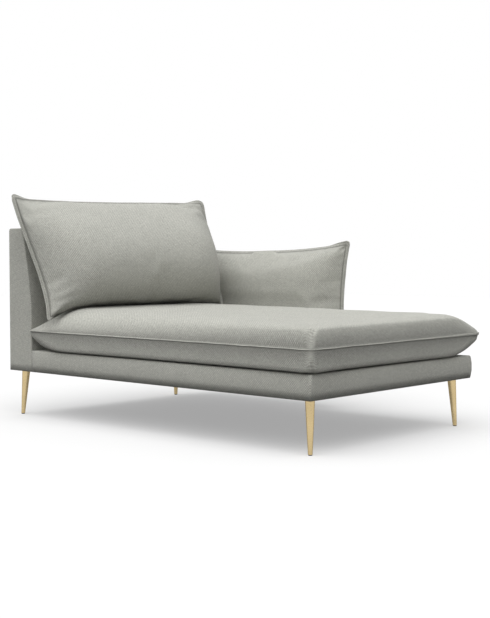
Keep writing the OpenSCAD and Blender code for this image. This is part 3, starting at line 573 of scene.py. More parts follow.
class Shader:
    """A material's node tree, built one node at a time."""

    def __init__(self, name):
        self.material = bpy.data.materials.new(name)
        self.material.use_nodes = True
        self.tree = self.material.node_tree
        self.tree.nodes.clear()
        self.surface = self.node("BsdfPrincipled")
        output = self.node("OutputMaterial")
        self.tree.links.new(self.surface.outputs["BSDF"], output.inputs["Surface"])

    def node(self, kind, **settings):
        """Adds a node, named without its common prefix."""
        node = self.tree.nodes.new("ShaderNode" + kind)
        for name, value in settings.items():
            setattr(node, name, value)
        return node

    def feed(self, socket, value):
        """Links a socket to another, or sets its value."""
        if isinstance(value, bpy.types.NodeSocket):
            self.tree.links.new(value, socket)
        else:
            socket.default_value = value

    def maths(self, operation, a, b=0.0):
        """One operation on two values."""
        node = self.node("Math", operation=operation)
        for socket, value in zip(node.inputs, (a, b)):
            self.feed(socket, value)
        return node.outputs["Value"]

    def mix(self, share, a, b):
        """A colour between two others."""
        node = self.node("Mix", data_type="RGBA")
        self.feed(node.inputs["Factor"], share)
        self.feed(node.inputs[6], a)
        self.feed(node.inputs[7], b)
        return node.outputs[2]

    def between(self, value, low, high, to_low, to_high):
        """Carries a value from one range to another."""
        node = self.node("MapRange")
        for socket, number in zip(node.inputs, (value, low, high, to_low, to_high)):
            self.feed(socket, number)
        return node.outputs["Result"]

    def noise(self, vector, scale, detail=2.0, roughness=0.5):
        """Soft noise over a vector, from 0 to 1."""
        node = self.node("TexNoise")
        self.feed(node.inputs["Vector"], vector)
        node.inputs["Scale"].default_value = scale
        node.inputs["Detail"].default_value = detail
        node.inputs["Roughness"].default_value = roughness
        return node.outputs["Fac"]

    def place(self):
        """The place in the frame, in metres."""
        return self.node("TexCoord").outputs["Object"]

    def stretched(self, vector, scale):
        """A vector scaled along each axis."""
        node = self.node("Mapping")
        self.feed(node.inputs["Vector"], vector)
        node.inputs["Scale"].default_value = scale
        return node.outputs["Vector"]

    def parts(self, vector):
        """The three parts of a vector."""
        node = self.node("SeparateXYZ")
        self.feed(node.inputs["Vector"], vector)
        return node.outputs["X"], node.outputs["Y"], node.outputs["Z"]

    def bump(self, height, depth, strength):
        """Gives the surface relief of this depth, where height is 1."""
        node = self.node("Bump")
        node.inputs["Strength"].default_value = strength
        node.inputs["Distance"].default_value = depth
        self.feed(node.inputs["Height"], height)
        self.feed(self.surface.inputs["Normal"], node.outputs["Normal"])

    def finish(self, base, rough, metal=0.0, **constants):
        """Feeds the surface, sets its other sockets by name and hands over the material."""
        self.feed(self.surface.inputs["Base Color"], base)
        self.feed(self.surface.inputs["Roughness"], rough)
        self.feed(self.surface.inputs["Metallic"], metal)
        for name, value in constants.items():
            self.surface.inputs[name.replace("_", " ")].default_value = value
        return self.material


def shade(rgb, factor):
    """A colour made lighter or darker, with its alpha."""
    return (*(min(1.0, c * factor) for c in rgb), 1.0)


def woven_fabric(name, finishes):
    """Basket-woven upholstery: pale yarns over darker ones, heathered, with a soft nap and painted seam
    shade.
    """
    cloth = Shader(name)
    flat = cloth.node("UVMap", uv_map="flat").outputs["UV"]
    x, y, _ = cloth.parts(cloth.stretched(flat, (1 / finishes.weave,) * 3))
    column, row = cloth.maths("FLOOR", x), cloth.maths("FLOOR", y)
    over = cloth.maths("FLOORED_MODULO", cloth.maths("ADD", column, row), 2.0)

    def arches(axis, per_basket):
        wave = cloth.maths("SINE", cloth.maths("MULTIPLY", axis, per_basket * math.pi))
        return cloth.maths("ABSOLUTE", wave)

    warp = cloth.maths("MULTIPLY", arches(x, 2), arches(y, 1))
    weft = cloth.maths("MULTIPLY", arches(y, 2), arches(x, 1))
    height = cloth.maths("ADD", cloth.maths("MULTIPLY", warp, over),
                         cloth.maths("MULTIPLY", weft, cloth.maths("SUBTRACT", 1.0, over)))
    fleck = cloth.node("TexWhiteNoise", noise_dimensions="2D")
    cell = cloth.node("CombineXYZ")
    cloth.feed(cell.inputs["X"], column)
    cloth.feed(cell.inputs["Y"], row)
    cloth.feed(fleck.inputs["Vector"], cell.outputs["Vector"])
    heather = cloth.noise(flat, 160, 3.0, 0.65)
    cloud = cloth.noise(flat, 9, 2.0)
    yarn = cloth.mix(over, shade(finishes.fabric, 0.80), shade(finishes.fabric, 1.20))
    level = cloth.maths("ADD", cloth.between(fleck.outputs["Value"], 0, 1, -0.11, 0.11),
                        cloth.between(heather, 0.3, 0.7, -0.12, 0.12))
    level = cloth.maths("ADD", level, cloth.between(cloud, 0.3, 0.7, -0.03, 0.03))
    level = cloth.maths("ADD", level, cloth.between(height, 0.0, 1.0, 0.90, 1.06))
    # Painted shade: the colour darkens to 0.45 of itself where the seam layer marks the stitching
    # grooves.
    seam = cloth.node("Attribute", attribute_name="seam").outputs["Fac"]
    level = cloth.maths("MULTIPLY", level, cloth.between(seam, 0, 1, 1, 0.45))
    toned = cloth.node("VectorMath", operation="SCALE")
    cloth.feed(toned.inputs[0], yarn)
    cloth.feed(toned.inputs["Scale"], level)
    cloth.bump(height, 0.0007, 0.7)
    return cloth.finish(toned.outputs["Vector"], 0.92, Sheen_Weight=0.12, Sheen_Roughness=0.6,
                        Specular_IOR_Level=0.2)


def woven_tape(name, finishes):
    """Close-woven zip tape, a shade darker than the fabric."""
    tape = Shader(name)
    ribs = tape.noise(tape.stretched(tape.place(), (900, 900, 4000)), 1.0, 1.0)
    return tape.finish(tape.mix(ribs, shade(finishes.fabric, 0.45), shade(finishes.fabric, 0.65)), 0.8)


def lacquered_brass(name, finishes):
    """Brass tube, brushed round and lacquered, with a painted dark reflection where it turns away."""
    brass = Shader(name)
    place = brass.place()
    brushed = brass.noise(brass.stretched(place, (60, 60, 900)), 1.0, 3.0)
    worn = brass.noise(place, 18, 3.0)
    tone = brass.mix(brass.between(worn, 0.35, 0.65, 0, 1), shade(finishes.brass, 0.94),
                     shade(finishes.brass, 1.04))
    brass.bump(brushed, 0.00004, 0.6)
    # Specular tint: brass's own edge tint, set dark as a painted reflection of dark surroundings.
    return brass.finish(tone, brass.between(brushed, 0.3, 0.7, 0.20, 0.32), 1.0,
                        Specular_Tint=(*finishes.brass_edge_painted_reflection, 1.0))


def grained(name, rgb, tones, grain, depth, rough, metal=0.0, **constants):
    """A finish whose one even grain sets its tone, its relief and how rough it is.

    tones are the factors of its darkest and lightest spots, grain is the scale, detail and roughness
    of its noise, and rough is the least and the most roughness of the surface.
    """
    surface = Shader(name)
    fine = surface.noise(surface.place(), *grain)
    tone = surface.mix(fine, *(shade(rgb, factor) for factor in tones))
    surface.bump(fine, depth, 0.5)
    return surface.finish(tone, surface.between(fine, 0.3, 0.7, *rough), metal, **constants)


def sewing_thread(name, finishes):
    """Twisted thread in the fabric's tone."""
    return grained(name, finishes.fabric, (0.62, 1.0), (1600, 2.0), 0.0001, (0.45, 0.6),
                   Sheen_Weight=0.2)


def plated_steel(name, finishes):
    """Zinc-plated steel with faint mottling."""
    return grained(name, finishes.steel, (0.85, 1.1), (240, 3.0), 0.00005, (0.25, 0.45), 1.0)


def moulded_nylon(name, finishes):
    """Black moulded nylon with a fine grain."""
    return grained(name, finishes.nylon, (0.8, 1.6), (900, 2.0), 0.00005, (0.45, 0.6))


def pressed_board(name, finishes):
    """Hardboard: dense brown fibres."""
    return grained(name, finishes.board, (0.7, 1.4), (420, 4.0, 0.7), 0.0001, (0.6, 0.8))


def sawn_timber(name, finishes, stretch):
    """Softwood rails: long grain along the rail, with darker late wood."""
    wood = Shader(name)
    place = wood.place()
    rings = wood.noise(wood.stretched(place, stretch), 1.0, 4.0, 0.6)
    fibres = wood.noise(wood.stretched(place, tuple(9 * s for s in stretch)), 1.0, 2.0)
    tone = wood.mix(wood.between(rings, 0.35, 0.65, 0, 1), shade(finishes.timber, 1.15),
                    shade(finishes.timber, 0.62))
    wood.bump(fibres, 0.0002, 0.6)
    return wood.finish(tone, wood.between(fibres, 0.3, 0.7, 0.62, 0.8))


def elastic_webbing(name, finishes):
    """Elastic webbing: a dark tape with close, paler ribs both ways."""
    webbing = Shader(name)
    x, y, z = webbing.parts(webbing.place())
    ribs = 2 * math.pi / 0.0022
    along = webbing.maths("SINE", webbing.maths("MULTIPLY", x, ribs))
    across = webbing.maths("SINE", webbing.maths("MULTIPLY", webbing.maths("ADD", y, z), ribs))
    rib = webbing.between(webbing.maths("MULTIPLY", along, across), -1, 1, 0, 1)
    tone = webbing.mix(rib, shade(finishes.strap, 0.6), shade(finishes.strap, 1.9))
    webbing.bump(rib, 0.0003, 0.7)
    return webbing.finish(tone, webbing.between(rib, 0, 1, 0.75, 0.9))


def spun_lining(name, finishes):
    """Black spun-bonded underlining with pressed dots."""
    lining = Shader(name)
    place = lining.place()
    fibres = lining.noise(place, 600, 3.0, 0.7)
    dots = lining.node("TexVoronoi", feature="F1")
    lining.feed(dots.inputs["Vector"], place)
    dots.inputs["Scale"].default_value = 420
    tone = lining.mix(fibres, shade(finishes.lining, 0.7), shade(finishes.lining, 2.2))
    lining.bump(dots.outputs["Distance"], 0.0003, 0.5)
    return lining.finish(tone, lining.between(fibres, 0.3, 0.7, 0.7, 0.9))


def report(operator, piece):
    """Ends an operator once its piece is there."""
    if piece is None:
        raise RuntimeError(f"{operator.bl_label} made nothing")
    return {"FINISHED"}


class CHAISE_OT_stage(bpy.types.Operator):
    """Sets up the floor, the light and the camera"""

    bl_idname = "chaise.stage"
    bl_label = "Stage"

    def execute(self, context):
        stage = context.scene.chaise_stage
        floor = self.floor(stage)
        self.room(context.scene, stage)
        self.key_light(context.scene, stage)
        self.camera(context.scene, stage)
        context.scene.view_settings.view_transform = "Standard"
        return report(self, floor)

    def floor(self, stage):
        """A wide floor that looks paler than the light that it throws back on the upholstery."""
        reach = 12.0
        thrown_back, seen, glow = 0.10, 0.54, 0.35
        pale = Shader("pale_floor")
        rays = pale.node("LightPath")
        direct = pale.maths("MAXIMUM", rays.outputs["Is Camera Ray"], rays.outputs["Is Glossy Ray"])
        tone = pale.mix(direct, shade(stage.floor, thrown_back), shade(stage.floor, seen))
        pale.feed(pale.surface.inputs["Emission Strength"], pale.maths("MULTIPLY", direct, glow))
        material = pale.finish(tone, 0.9, Specular_IOR_Level=0.0, Emission_Color=(1, 1, 1, 1))
        bm = bmesh.new()
        bmesh.ops.create_grid(bm, x_segments=4, y_segments=4, size=reach)
        return piece_of("floor", bm, material)

    def room(self, scene, stage):
        """Even light from all round. The camera, reflections and glass see plain white instead."""
        world = scene.world or bpy.data.worlds.new("room")
        scene.world = world
        world.use_nodes = True
        tree = world.node_tree
        tree.nodes.clear()
        rays = tree.nodes.new("ShaderNodeLightPath")
        seen = rays.outputs["Is Camera Ray"]
        for other in ("Is Glossy Ray", "Is Transmission Ray"):
            either = tree.nodes.new("ShaderNodeMath")
            either.operation = "MAXIMUM"
            tree.links.new(seen, either.inputs[0])
            tree.links.new(rays.outputs[other], either.inputs[1])
            seen = either.outputs[0]
        mixed = tree.nodes.new("ShaderNodeMixShader")
        tree.links.new(seen, mixed.inputs[0])
        for socket, strength in zip(mixed.inputs[1:], (stage.room, 1)):
            light = tree.nodes.new("ShaderNodeBackground")
            light.inputs["Color"].default_value = (1, 1, 1, 1)
            light.inputs["Strength"].default_value = strength
            tree.links.new(light.outputs[0], socket)
        output = tree.nodes.new("ShaderNodeOutputWorld")
        tree.links.new(mixed.outputs[0], output.inputs["Surface"])

    def key_light(self, scene, stage):
        """A wide, soft light from above the open side."""
        lamp = bpy.data.lights.new("key_light", "SUN")
        lamp.energy = stage.key
        lamp.angle = stage.key_size
        hung = bpy.data.objects.new("key_light", lamp)
        scene.collection.objects.link(hung)
        hung.rotation_euler = (math.pi / 2 - stage.key_height, 0, -stage.key_side)

    def camera(self, scene, stage):
        """The photograph's own view."""
        data = bpy.data.cameras.new("photo_view")
        data.lens = stage.lens
        data.sensor_width = 36
        camera = bpy.data.objects.new("photo_view", data)
        scene.collection.objects.link(camera)
        camera.location = stage.camera_place
        camera.rotation_euler = (math.pi / 2 - stage.camera_dip, 0, -stage.camera_turn)
        scene.camera = camera


def box_cloth(bm):
    """Lays the weave over a box: each face takes the two axes that it lies along."""
    flat = bm.loops.layers.uv.new("flat")
    bm.normal_update()
    for face in bm.faces:
        away = max(range(3), key=lambda axis: abs(face.normal[axis]))
        u, v = ((1, 2), (0, 2), (0, 1))[away]
        for loop in face.loops:
            loop[flat].uv = (loop.vert.co[u], loop.vert.co[v])


def everything(bm):
    """All that a bmesh holds, as its cutting operators take it."""
    return bm.verts[:] + bm.edges[:] + bm.faces[:]


def cut_across(bm, low, high, cell):
    """Cuts a shell along its three axes into cells, fine enough to swell."""
    for axis in range(3):
        span = high[axis] - low[axis]
        count = max(1, round(span / cell))
        normal = Vector([1 if a == axis else 0 for a in range(3)])
        for k in range(1, count):
            bmesh.ops.bisect_plane(bm, geom=everything(bm), dist=1e-5, plane_no=normal,
                                   plane_co=low + normal * span * k / count)


def bevel(bm, edges, radius, segments):
    """Rounds edges."""
    bmesh.ops.bevel(bm, geom=edges, offset=radius, offset_type="OFFSET", segments=segments,
                    profile=0.5, affect="EDGES", material=-1)


def give_wall(piece, thickness):
    """Gives a cover the thickness of its cloth, inwards."""
    wall = piece.modifiers.new("cover_thickness", "SOLIDIFY")
    wall.thickness = thickness
    wall.offset = -1


class CHAISE_OT_base(bpy.types.Operator):
    """Covers the base: padded sides, rounded corners and a plain deck under the seat"""

    bl_idname = "chaise.base"
    bl_label = "Base upholstery"

    def execute(self, context):
        sizes = context.scene.chaise_upholstery
        bm = bmesh.new()
        bmesh.ops.create_cube(bm, size=1)
        bmesh.ops.scale(bm, vec=BASE_HIGH - BASE_LOW, verts=bm.verts[:])
        bmesh.ops.translate(bm, vec=(BASE_LOW + BASE_HIGH) / 2, verts=bm.verts[:])
        foot_corners = [e for e in bm.edges if abs(e.verts[0].co.z - e.verts[1].co.z) > NEAR
                        and e.verts[0].co.y < BASE_LOW.y + NEAR]
        bevel(bm, foot_corners, sizes.corner_radius, segments=6)
        top = [e for e in bm.edges if all(v.co.z > BASE_HIGH.z - NEAR for v in e.verts)
               and any(v.co.y < BASE_HIGH.y - NEAR for v in e.verts)]
        bevel(bm, top, sizes.top_radius, segments=6)
        hidden = [f for f in bm.faces if all(v.co.z < BASE_LOW.z + NEAR for v in f.verts)
                  or all(v.co.y > BASE_HIGH.y - NEAR for v in f.verts)]
        bmesh.ops.delete(bm, geom=hidden, context="FACES")
        cut_across(bm, BASE_LOW, BASE_HIGH, sizes.cell)
        self.soften(bm, sizes)
        box_cloth(bm)
        piece = piece_of("base_upholstery", bm, bpy.data.materials["woven_upholstery"])
        give_wall(piece, sizes.cloth_thickness)
        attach(piece, "frame")
        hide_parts("base_cover", "base_wadding", "platform_pad")
        return report(self, piece)

    def soften(self, bm, sizes):
        """Swells the sides between their edges, up to the back, and lets the cloth wander a little."""
        height = BASE_HIGH.z - BASE_LOW.z
        wander, wander_scale, back_seam = 0.0012, 7, BASE_HIGH.y - 0.002
        bm.normal_update()
        for v in bm.verts:
            if v.co.y > back_seam:
                continue
            arch = math.sin(math.pi * min(max((v.co.z - BASE_LOW.z) / height, 0), 1))
            outward = Vector((v.normal.x, v.normal.y, 0))
            uneven = wander * noise.noise(v.co * wander_scale)
            v.co += outward * (sizes.side_crown * arch + uneven * arch)


class CHAISE_OT_back(bpy.types.Operator):
    """Covers the back: foam over its sloping front, tight round its ends and over its top"""

    bl_idname = "chaise.back"
    bl_label = "Back upholstery"

    def execute(self, context):
        sizes = context.scene.chaise_upholstery
        bm = bmesh.new()
        outline = [bm.verts.new(at(0, y, z)) for y, z in back_profile()]
        end = bm.faces.new(outline)
        across = bmesh.ops.extrude_face_region(bm, geom=[end])
        moved = [g for g in across["geom"] if isinstance(g, bmesh.types.BMVert)]
        bmesh.ops.translate(bm, vec=(BASE_WIDTH, 0, 0), verts=moved)
        bmesh.ops.recalc_face_normals(bm, faces=bm.faces[:])
        low_x, high_x = ORIGIN.x + NEAR, ORIGIN.x + BASE_WIDTH - NEAR
        round_ends = [e for e in bm.edges
                      if (all(v.co.x < low_x for v in e.verts) or all(v.co.x > high_x for v in e.verts))
                      and any(v.co.z > BASE_FOOT + NEAR for v in e.verts)]
        bevel(bm, round_ends, sizes.back_edge, segments=4)
        under = [f for f in bm.faces if all(v.co.z < BASE_FOOT + NEAR for v in f.verts)]
        bmesh.ops.delete(bm, geom=under, context="FACES")
        cut_across(bm, at(0, REAR - BACK_DEPTH, BASE_FOOT), at(BASE_WIDTH, REAR, BACK_TOP), sizes.cell)
        self.soften(bm, sizes)
        box_cloth(bm)
        piece = piece_of("back_upholstery", bm, bpy.data.materials["woven_upholstery"])
        give_wall(piece, sizes.cloth_thickness)
        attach(piece, "frame")
        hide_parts("back_cover", "back_end_panels", "back_foam")
        return report(self, piece)

    def soften(self, bm, sizes):
        """Swells the front over its foam, least near its edges."""
        wander, wander_scale = 0.001, 6
        facing_front, near_ends, near_edges = -0.5, 6, 5
        bm.normal_update()
        for v in bm.verts:
            across = (v.co.x - ORIGIN.x) / BASE_WIDTH
            up = (v.co.z - SEAT_FLOOR) / (BACK_TOP - SEAT_FLOOR)
            if v.normal.y > facing_front or not 0 < up < 1:
                continue
            full = rise(min(across, 1 - across) * near_ends, 2) * rise(min(up, 1 - up) * near_edges, 2)
            v.co.y -= full * (sizes.back_crown + wander * noise.noise(v.co * wander_scale))


def back_front(z):
    """Place of the back's front at a height, from the base's foot end."""
    bend = BASE_FOOT + BACK_BEND
    lean = max(0, (z - bend) / (BACK_TOP - bend))
    return REAR - BACK_DEPTH + (BACK_DEPTH - BACK_TOP_DEPTH) * lean ** BACK_CURVE


def back_profile():
    """The back seen from its end, from the front's foot over the top to the rear's foot."""
    r, steps, turns = BACK_ROUND, 10, 6
    bend, shoulder = BASE_FOOT + BACK_BEND, BACK_TOP - BACK_ROUND
    levels = [bend + (shoulder - bend) * k / steps for k in range(steps + 1)]
    quarter = [math.pi / 2 * k / turns for k in range(turns + 1)]
    front = [(back_front(bend), BASE_FOOT)] + [(back_front(z), z) for z in levels]
    over = [(back_front(shoulder) + r - r * math.cos(a), shoulder + r * math.sin(a))
            for a in quarter[1:]]
    down = [(REAR - r + r * math.sin(a), shoulder + r * math.cos(a)) for a in quarter]
    return front + over + down + [(REAR, BASE_FOOT)]


def flange_edge(sizes):
    """A sewn flange from its turned rim over its topstitching to the seam that closes it."""
    w, half, hem = sizes.flange, sizes.rim / 2, sizes.hem
    # Each row's third value is painted shade: the cloth darkens at the topstitching and most at the
    # closing seam.
    return [(0, 0, 0), (0.0006, half * 0.7, 0), (0.0022, half, 0), (hem - 0.0014, half * 0.8, 0.1),
            (hem, half * 0.3, 0.8), (hem + 0.0014, half * 0.7, 0.1), (w * 0.7, half * 0.75, 0),
            (w - 0.0018, half * 0.5, 0.3), (w, half * 0.12, 1)]


def welt_edge(sizes):
    """A round welt from its rim to the stitching that holds it."""
    r = sizes.welt / 2
    turns = [(r - r * math.cos(a), r * math.sin(a), 0) for a in (math.pi * k / 6 for k in range(5))]
    # The last two rows carry painted shade: the cloth darkens towards the welt's stitching.
    return turns + [(sizes.welt - 0.0006, r * 0.5, 0.3), (sizes.welt, 0.0004, 0.6)]


def turned(over, z, turn):
    """A flange's place past its seam and off its plane, once it has turned back by an angle."""
    return over * math.cos(turn) + z * math.sin(turn), z * math.cos(turn) - over * math.sin(turn)


def arm_form(sizes):
    """The padded arm, drawn from the open side: along, up and outwards."""
    half_thick = (ARM_HIGH.x - ARM_LOW.x) / 2
    seam_x = (ARM_HIGH.x + ARM_LOW.x) / 2 - ORIGIN.x
    past_front, inner_swell, middle_height = 0.006, 0.006, 0.220
    front, rear = ARM_LOW.y - ORIGIN.y - past_front, ARM_HIGH.y - ORIGIN.y
    middle, tip = BASE_FOOT + middle_height, ARM_HIGH.z
    rear_drop, top_draw = 0.020, 0.034
    laid_over = math.radians(62)

    def place(x, y, z):
        s = (x - front) / (rear - front) * 2 - 1
        over = y - (tip - sizes.flange - top_draw * (1 - s * s))
        if over > 0:
            past, off = turned(over, -z, laid_over * ease_in(s, -0.97, -0.70))
            y, z = y - over + past, -off
        up = max(0, y - middle)
        return at(seam_x + z, x, y - rear_drop * max(0, s) * up / (tip - middle))

    inner = Half(half_thick + inner_swell, soft=(0.140, 0.160, 0.230, 0.140), power=2.0,
                 full=(2.0, 1.9, 1.2, 1.5))
    outer = Half(half_thick, soft=(0.140, 0.170, 0.210, 0.140), power=2.0, full=(2.0, 1.3, 1.3, 1.5))
    return Form((front, 2 * middle - tip), (rear, tip), corner=sizes.corner,
                draws=(0.016, top_draw, 0.035, 0.0), edge=flange_edge(sizes), front=outer, rear=inner,
                place=place)


class CHAISE_OT_arm(bpy.types.Operator):
    """Makes the padded arm with its sewn flange"""

    bl_idname = "chaise.arm"
    bl_label = "Arm"

    def execute(self, context):
        sizes = context.scene.chaise_cushions
        form = arm_form(sizes)
        bm = stuffed(form, sizes.cell)
        bmesh.ops.bisect_plane(bm, geom=everything(bm), dist=1e-6, plane_co=(0, 0, BASE_FOOT),
                               plane_no=(0, 0, 1), clear_inner=True)
        piece = piece_of("arm_upholstery", bm, bpy.data.materials["woven_upholstery"])
        foot = BASE_FOOT + 0.004
        pinned = set(pinned_at(piece, sizes.flange))
        pinned |= {v.index for v in piece.data.vertices if v.co.z < foot}
        swell(piece, sorted(pinned), sizes, cap=0.006)
        inner_side = -1
        rumple(piece, sizes, sizes.flange, ARM_FOLDS, inner_side, sway=Vector((1, 0, 0)))
        self.settle(piece)
        subdivide(piece)
        give_wall(piece, context.scene.chaise_upholstery.cloth_thickness / 2)
        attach(piece, "frame")
        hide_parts("arm_cover", "arm_foam")
        stitching("arm_stitching", piece, form, sizes, "frame",
                  above=BASE_FOOT + 0.01)
        return report(self, piece)

    def settle(self, piece):
        """Sets the arm flat against the base's side; its padding may swell over the seat's crown."""
        base_gap, past_side, over_seat = 0.0003, 0.004, 0.014
        inner, outer = ORIGIN.x + BASE_WIDTH + base_gap, ARM_HIGH.x + past_side
        starts, full = SEAT_HIGH.z - 0.03, SEAT_HIGH.z + 0.06
        for v in piece.data.vertices:
            limit = inner - over_seat * ease_in(v.co.z, starts, full)
            v.co.x = min(max(v.co.x, limit), outer)
            v.co.z = max(v.co.z, BASE_FOOT)


def seat_form(sizes):
    """The seat cushion in plan, with its far corner at the foot end flaring out and filled."""
    arm_gap = 0.004
    low = Vector((SEAT_LOW.x - ORIGIN.x, SEAT_LOW.y - ORIGIN.y))
    high = Vector((BASE_WIDTH - arm_gap, SEAT_HIGH.y - ORIGIN.y))
    seam = SEAT_FLOOR + sizes.seat_seam
    flare_length, corner_fill, fill_below = 0.300, 0.42, 0.2
    bulge_above, bulge_power = 0.2, 7
    half_width = (high.x - low.x) / 2

    def place(x, y, z):
        upper = z > 0
        near = max(0, 1 - (y - low.y) / flare_length)
        side = (x - low.x - half_width) / half_width
        deep = sizes.seat_crown if upper else sizes.seat_seam
        filled = 1 - corner_fill * near * max(0, side) * (1 if upper else fill_below)
        z = math.copysign(deep * (abs(z) / deep) ** filled, z)
        along = (2 * y - low.y - high.y) / (high.y - low.y)
        fall = sizes.seat_fall * max(0, z) / sizes.seat_crown * (high.y - y) / (high.y - low.y)
        full = bulge_above * ease_in(z, 0.001, 0.016) if upper else ease_in(-z, 0, 0.026)
        bulge = sizes.seat_bulge * full
        overhang = max(-x, -y)
        droop = sizes.seat_droop * ease_in(overhang, 0.006, 0.016) * ease_in(-z, 0.03, 0.07)
        x += sizes.seat_flare * near * near * max(0, side) + bulge * side ** bulge_power
        return at(x, y + bulge * along ** bulge_power, seam + z - fall - droop)

    top = Half(sizes.seat_crown, soft=(0.100, 0.150, 0.072, 0.070), power=5.0,
               full=(2.2, 1.6, 5.0, 5.0), ear_soft=(1.70, 1.0), ear_power=2.2, slack=1.4)
    above_base = 0.0004
    under = Half(sizes.seat_seam - above_base, soft=(0.030,) * 4, power=4.0, full=(4.0,) * 4,
                 ear_soft=(3.1, 1.0), ear_power=2.6)
    return Form(low, high, corner=(sizes.seat_corner, sizes.seat_near_corner),
                draws=(0, 0, 0.006, 0.006), edge=welt_edge(sizes), front=top, rear=under, place=place,
                dome=sizes.seat_dome, sharpness=14, ears=(0.200, 0.040))


class CHAISE_OT_seat_cushion(bpy.types.Operator):
    """Makes the long seat cushion with its welt"""

    bl_idname = "chaise.seat_cushion"
    bl_label = "Seat cushion"

    def execute(self, context):
        sizes = context.scene.chaise_cushions
        form = seat_form(sizes)
        piece = piece_of("seat_cushion", stuffed(form, sizes.cell), bpy.data.materials["woven_cushion"])
        swell(piece, pinned_at(piece, sizes.welt), sizes, cap=0.004)
        top_side = 1
        rumple(piece, sizes, sizes.welt, (), top_side, sway=Vector((0, 0, 0.5)))
        self.settle(piece, sizes.seat_droop)
        subdivide(piece)
        self.settle(piece, sizes.seat_droop)
        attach(piece, "seat_cushion")
        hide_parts("seat_cushion_cover", "seat_cushion_core")
        return report(self, piece)

    def settle(self, piece, droop):
        """Rests the cushion flat on the base, clear of the back and of the arm's inner face."""
        lift, back_gap, arm_gap, edge = 0.0004, 0.0060, 0.0002, 0.006
        floor, rear = SEAT_FLOOR + lift, ORIGIN.y + REAR - BACK_DEPTH - back_gap
        side, arm_front = ORIGIN.x + BASE_WIDTH - arm_gap, ARM_LOW.y - 0.01
        for v in piece.data.vertices:
            on_base = v.co.x > BASE_LOW.x - edge and v.co.y > BASE_LOW.y - edge
            v.co.z = max(v.co.z, floor if on_base else floor - droop)
            v.co.y = min(v.co.y, rear)
            if v.co.y > arm_front:
                v.co.x = min(v.co.x, side)


def back_cushion_form(sizes):
    """The back cushion in its own leaning plane: across, up the lean and forward."""
    width, height = 1.009, 0.544
    low = Vector((-0.054, -0.066))
    high = low + Vector((width, height))
    lean_open, lean_arm = math.radians(24), math.radians(15)
    top_draw, arm_low, arm_low_power = 0.009, 0.016, 5
    foot_y, foot_z = REAR - BACK_DEPTH - 0.138, 0.44027
    foot_draw, foot_power = 0.052, (24, 4)
    tip_rise = 0.007
    laid_back, tip_back, tucked = math.radians(84), math.radians(18), math.radians(78)

    def place(x, y, z):
        across = (x - low.x) / width
        s = 2 * across - 1
        tip = abs(s)
        lower = arm_low * across ** arm_low_power
        y -= lower * (y - low.y) / height
        over = y - (high.y - sizes.flange - top_draw * (1 - s ** 2) - lower)
        if over > 0:
            turn = laid_back + (tip_back - laid_back) * ease_in(tip, 0.80, 0.98)
            past, z = turned(over, z, turn)
            y += past - over + tip_rise * ease_in(tip, 0.86, 1.0) * (1 - 0.5 * across)
        foot_line = low.y + sizes.flange + foot_draw * (1 - tip ** foot_power[s <= 0])
        if y < foot_line:
            past, z = turned(foot_line - y, z, tucked * ease_in(s, -0.97, -0.86))
            y = foot_line - past
        lean = lean_open - (lean_open - lean_arm) * across * across
        return at(x, foot_y + y * math.sin(lean) - z, foot_z + y * math.cos(lean))

    front = Half(sizes.back_front, soft=(0.230, 0.235, 0.190, 0.265), power=2.0,
                 full=(1.1, 1.15, 1.3, 1.0))
    rear = Half(sizes.back_rear, soft=(0.150, 0.150, 0.150, 0.110), power=2.2, full=(1.5,) * 4,
                ear_power=2.2)
    return Form(low, high, corner=sizes.back_corner, draws=(0.003, top_draw, 0.018, foot_draw),
                edge=flange_edge(sizes), front=front, rear=rear, place=place, foot_power=foot_power,
                low_draw=1.5, top_draw_right=1.5)


class CHAISE_OT_back_cushion(bpy.types.Operator):
    """Makes the leaning back cushion with its sewn flange"""

    bl_idname = "chaise.back_cushion"
    bl_label = "Back cushion"

    def execute(self, context):
        sizes = context.scene.chaise_cushions
        form = back_cushion_form(sizes)
        piece = piece_of("back_cushion", stuffed(form, sizes.cell), bpy.data.materials["woven_cushion"])
        swell(piece, pinned_at(piece, sizes.flange), sizes, cap=0.007)
        front_side = 1
        rumple(piece, sizes, sizes.flange, CUSHION_FOLDS, front_side, sway=Vector((0, 0.9, -0.35)))
        self.sag(piece, sizes)
        seat = BVHTree.FromObject(bpy.data.objects["seat_cushion"],
                                  bpy.context.evaluated_depsgraph_get())
        self.settle(piece, seat)
        subdivide(piece)
        self.settle(piece, seat)
        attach(piece, "back_cushion")
        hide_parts("back_cushion_cover", "back_cushion_core")
        stitching("back_cushion_stitching", piece, form, sizes, "back_cushion")
        return report(self, piece)

    def sag(self, piece, sizes):
        """Lets the filling sink at the foot, most at the front and least at the open end."""
        foot, reach = SEAT_HIGH.z, 0.200
        behind, at_open_end = 0.3, 0.35
        for v, plan, inset in zip(piece.data.vertices, kept_on(piece, "plan", "vector"),
                                  kept_on(piece, "inset")):
            low = 1 - ease_in(v.co.z, foot, foot + reach)
            inner = ease_in(inset, sizes.flange * 0.5, sizes.flange + 0.05)
            along = at_open_end + (1 - at_open_end) * ease_in(plan.x, 0.02, 0.16)
            v.co.z -= sizes.back_sag * low * (1.0 if plan.z > 0 else behind) * inner * along

    def settle(self, piece, seat):
        """Rests the cushion on the seat and against the back, clear of the arm.

        Past the seat's own rounded side, the cushion keeps the level that it has at seat_side.
        """
        lift, back_gap, arm_gap = 0.0006, 0.0045, 0.0006
        side, seat_side = ORIGIN.x + BASE_WIDTH - arm_gap, SEAT_LOW.x + 0.035
        for v in piece.data.vertices:
            above = Vector((max(v.co.x, seat_side), v.co.y, BACK_TOP))
            hit, _, _, _ = seat.ray_cast(above, Vector((0, 0, -1)))
            if hit is not None:
                v.co.z = max(v.co.z, hit.z + lift)
            if v.co.z < BACK_TOP:
                v.co.y = min(v.co.y, ORIGIN.y + back_front(v.co.z) - back_gap)
            v.co.x = min(v.co.x, side)


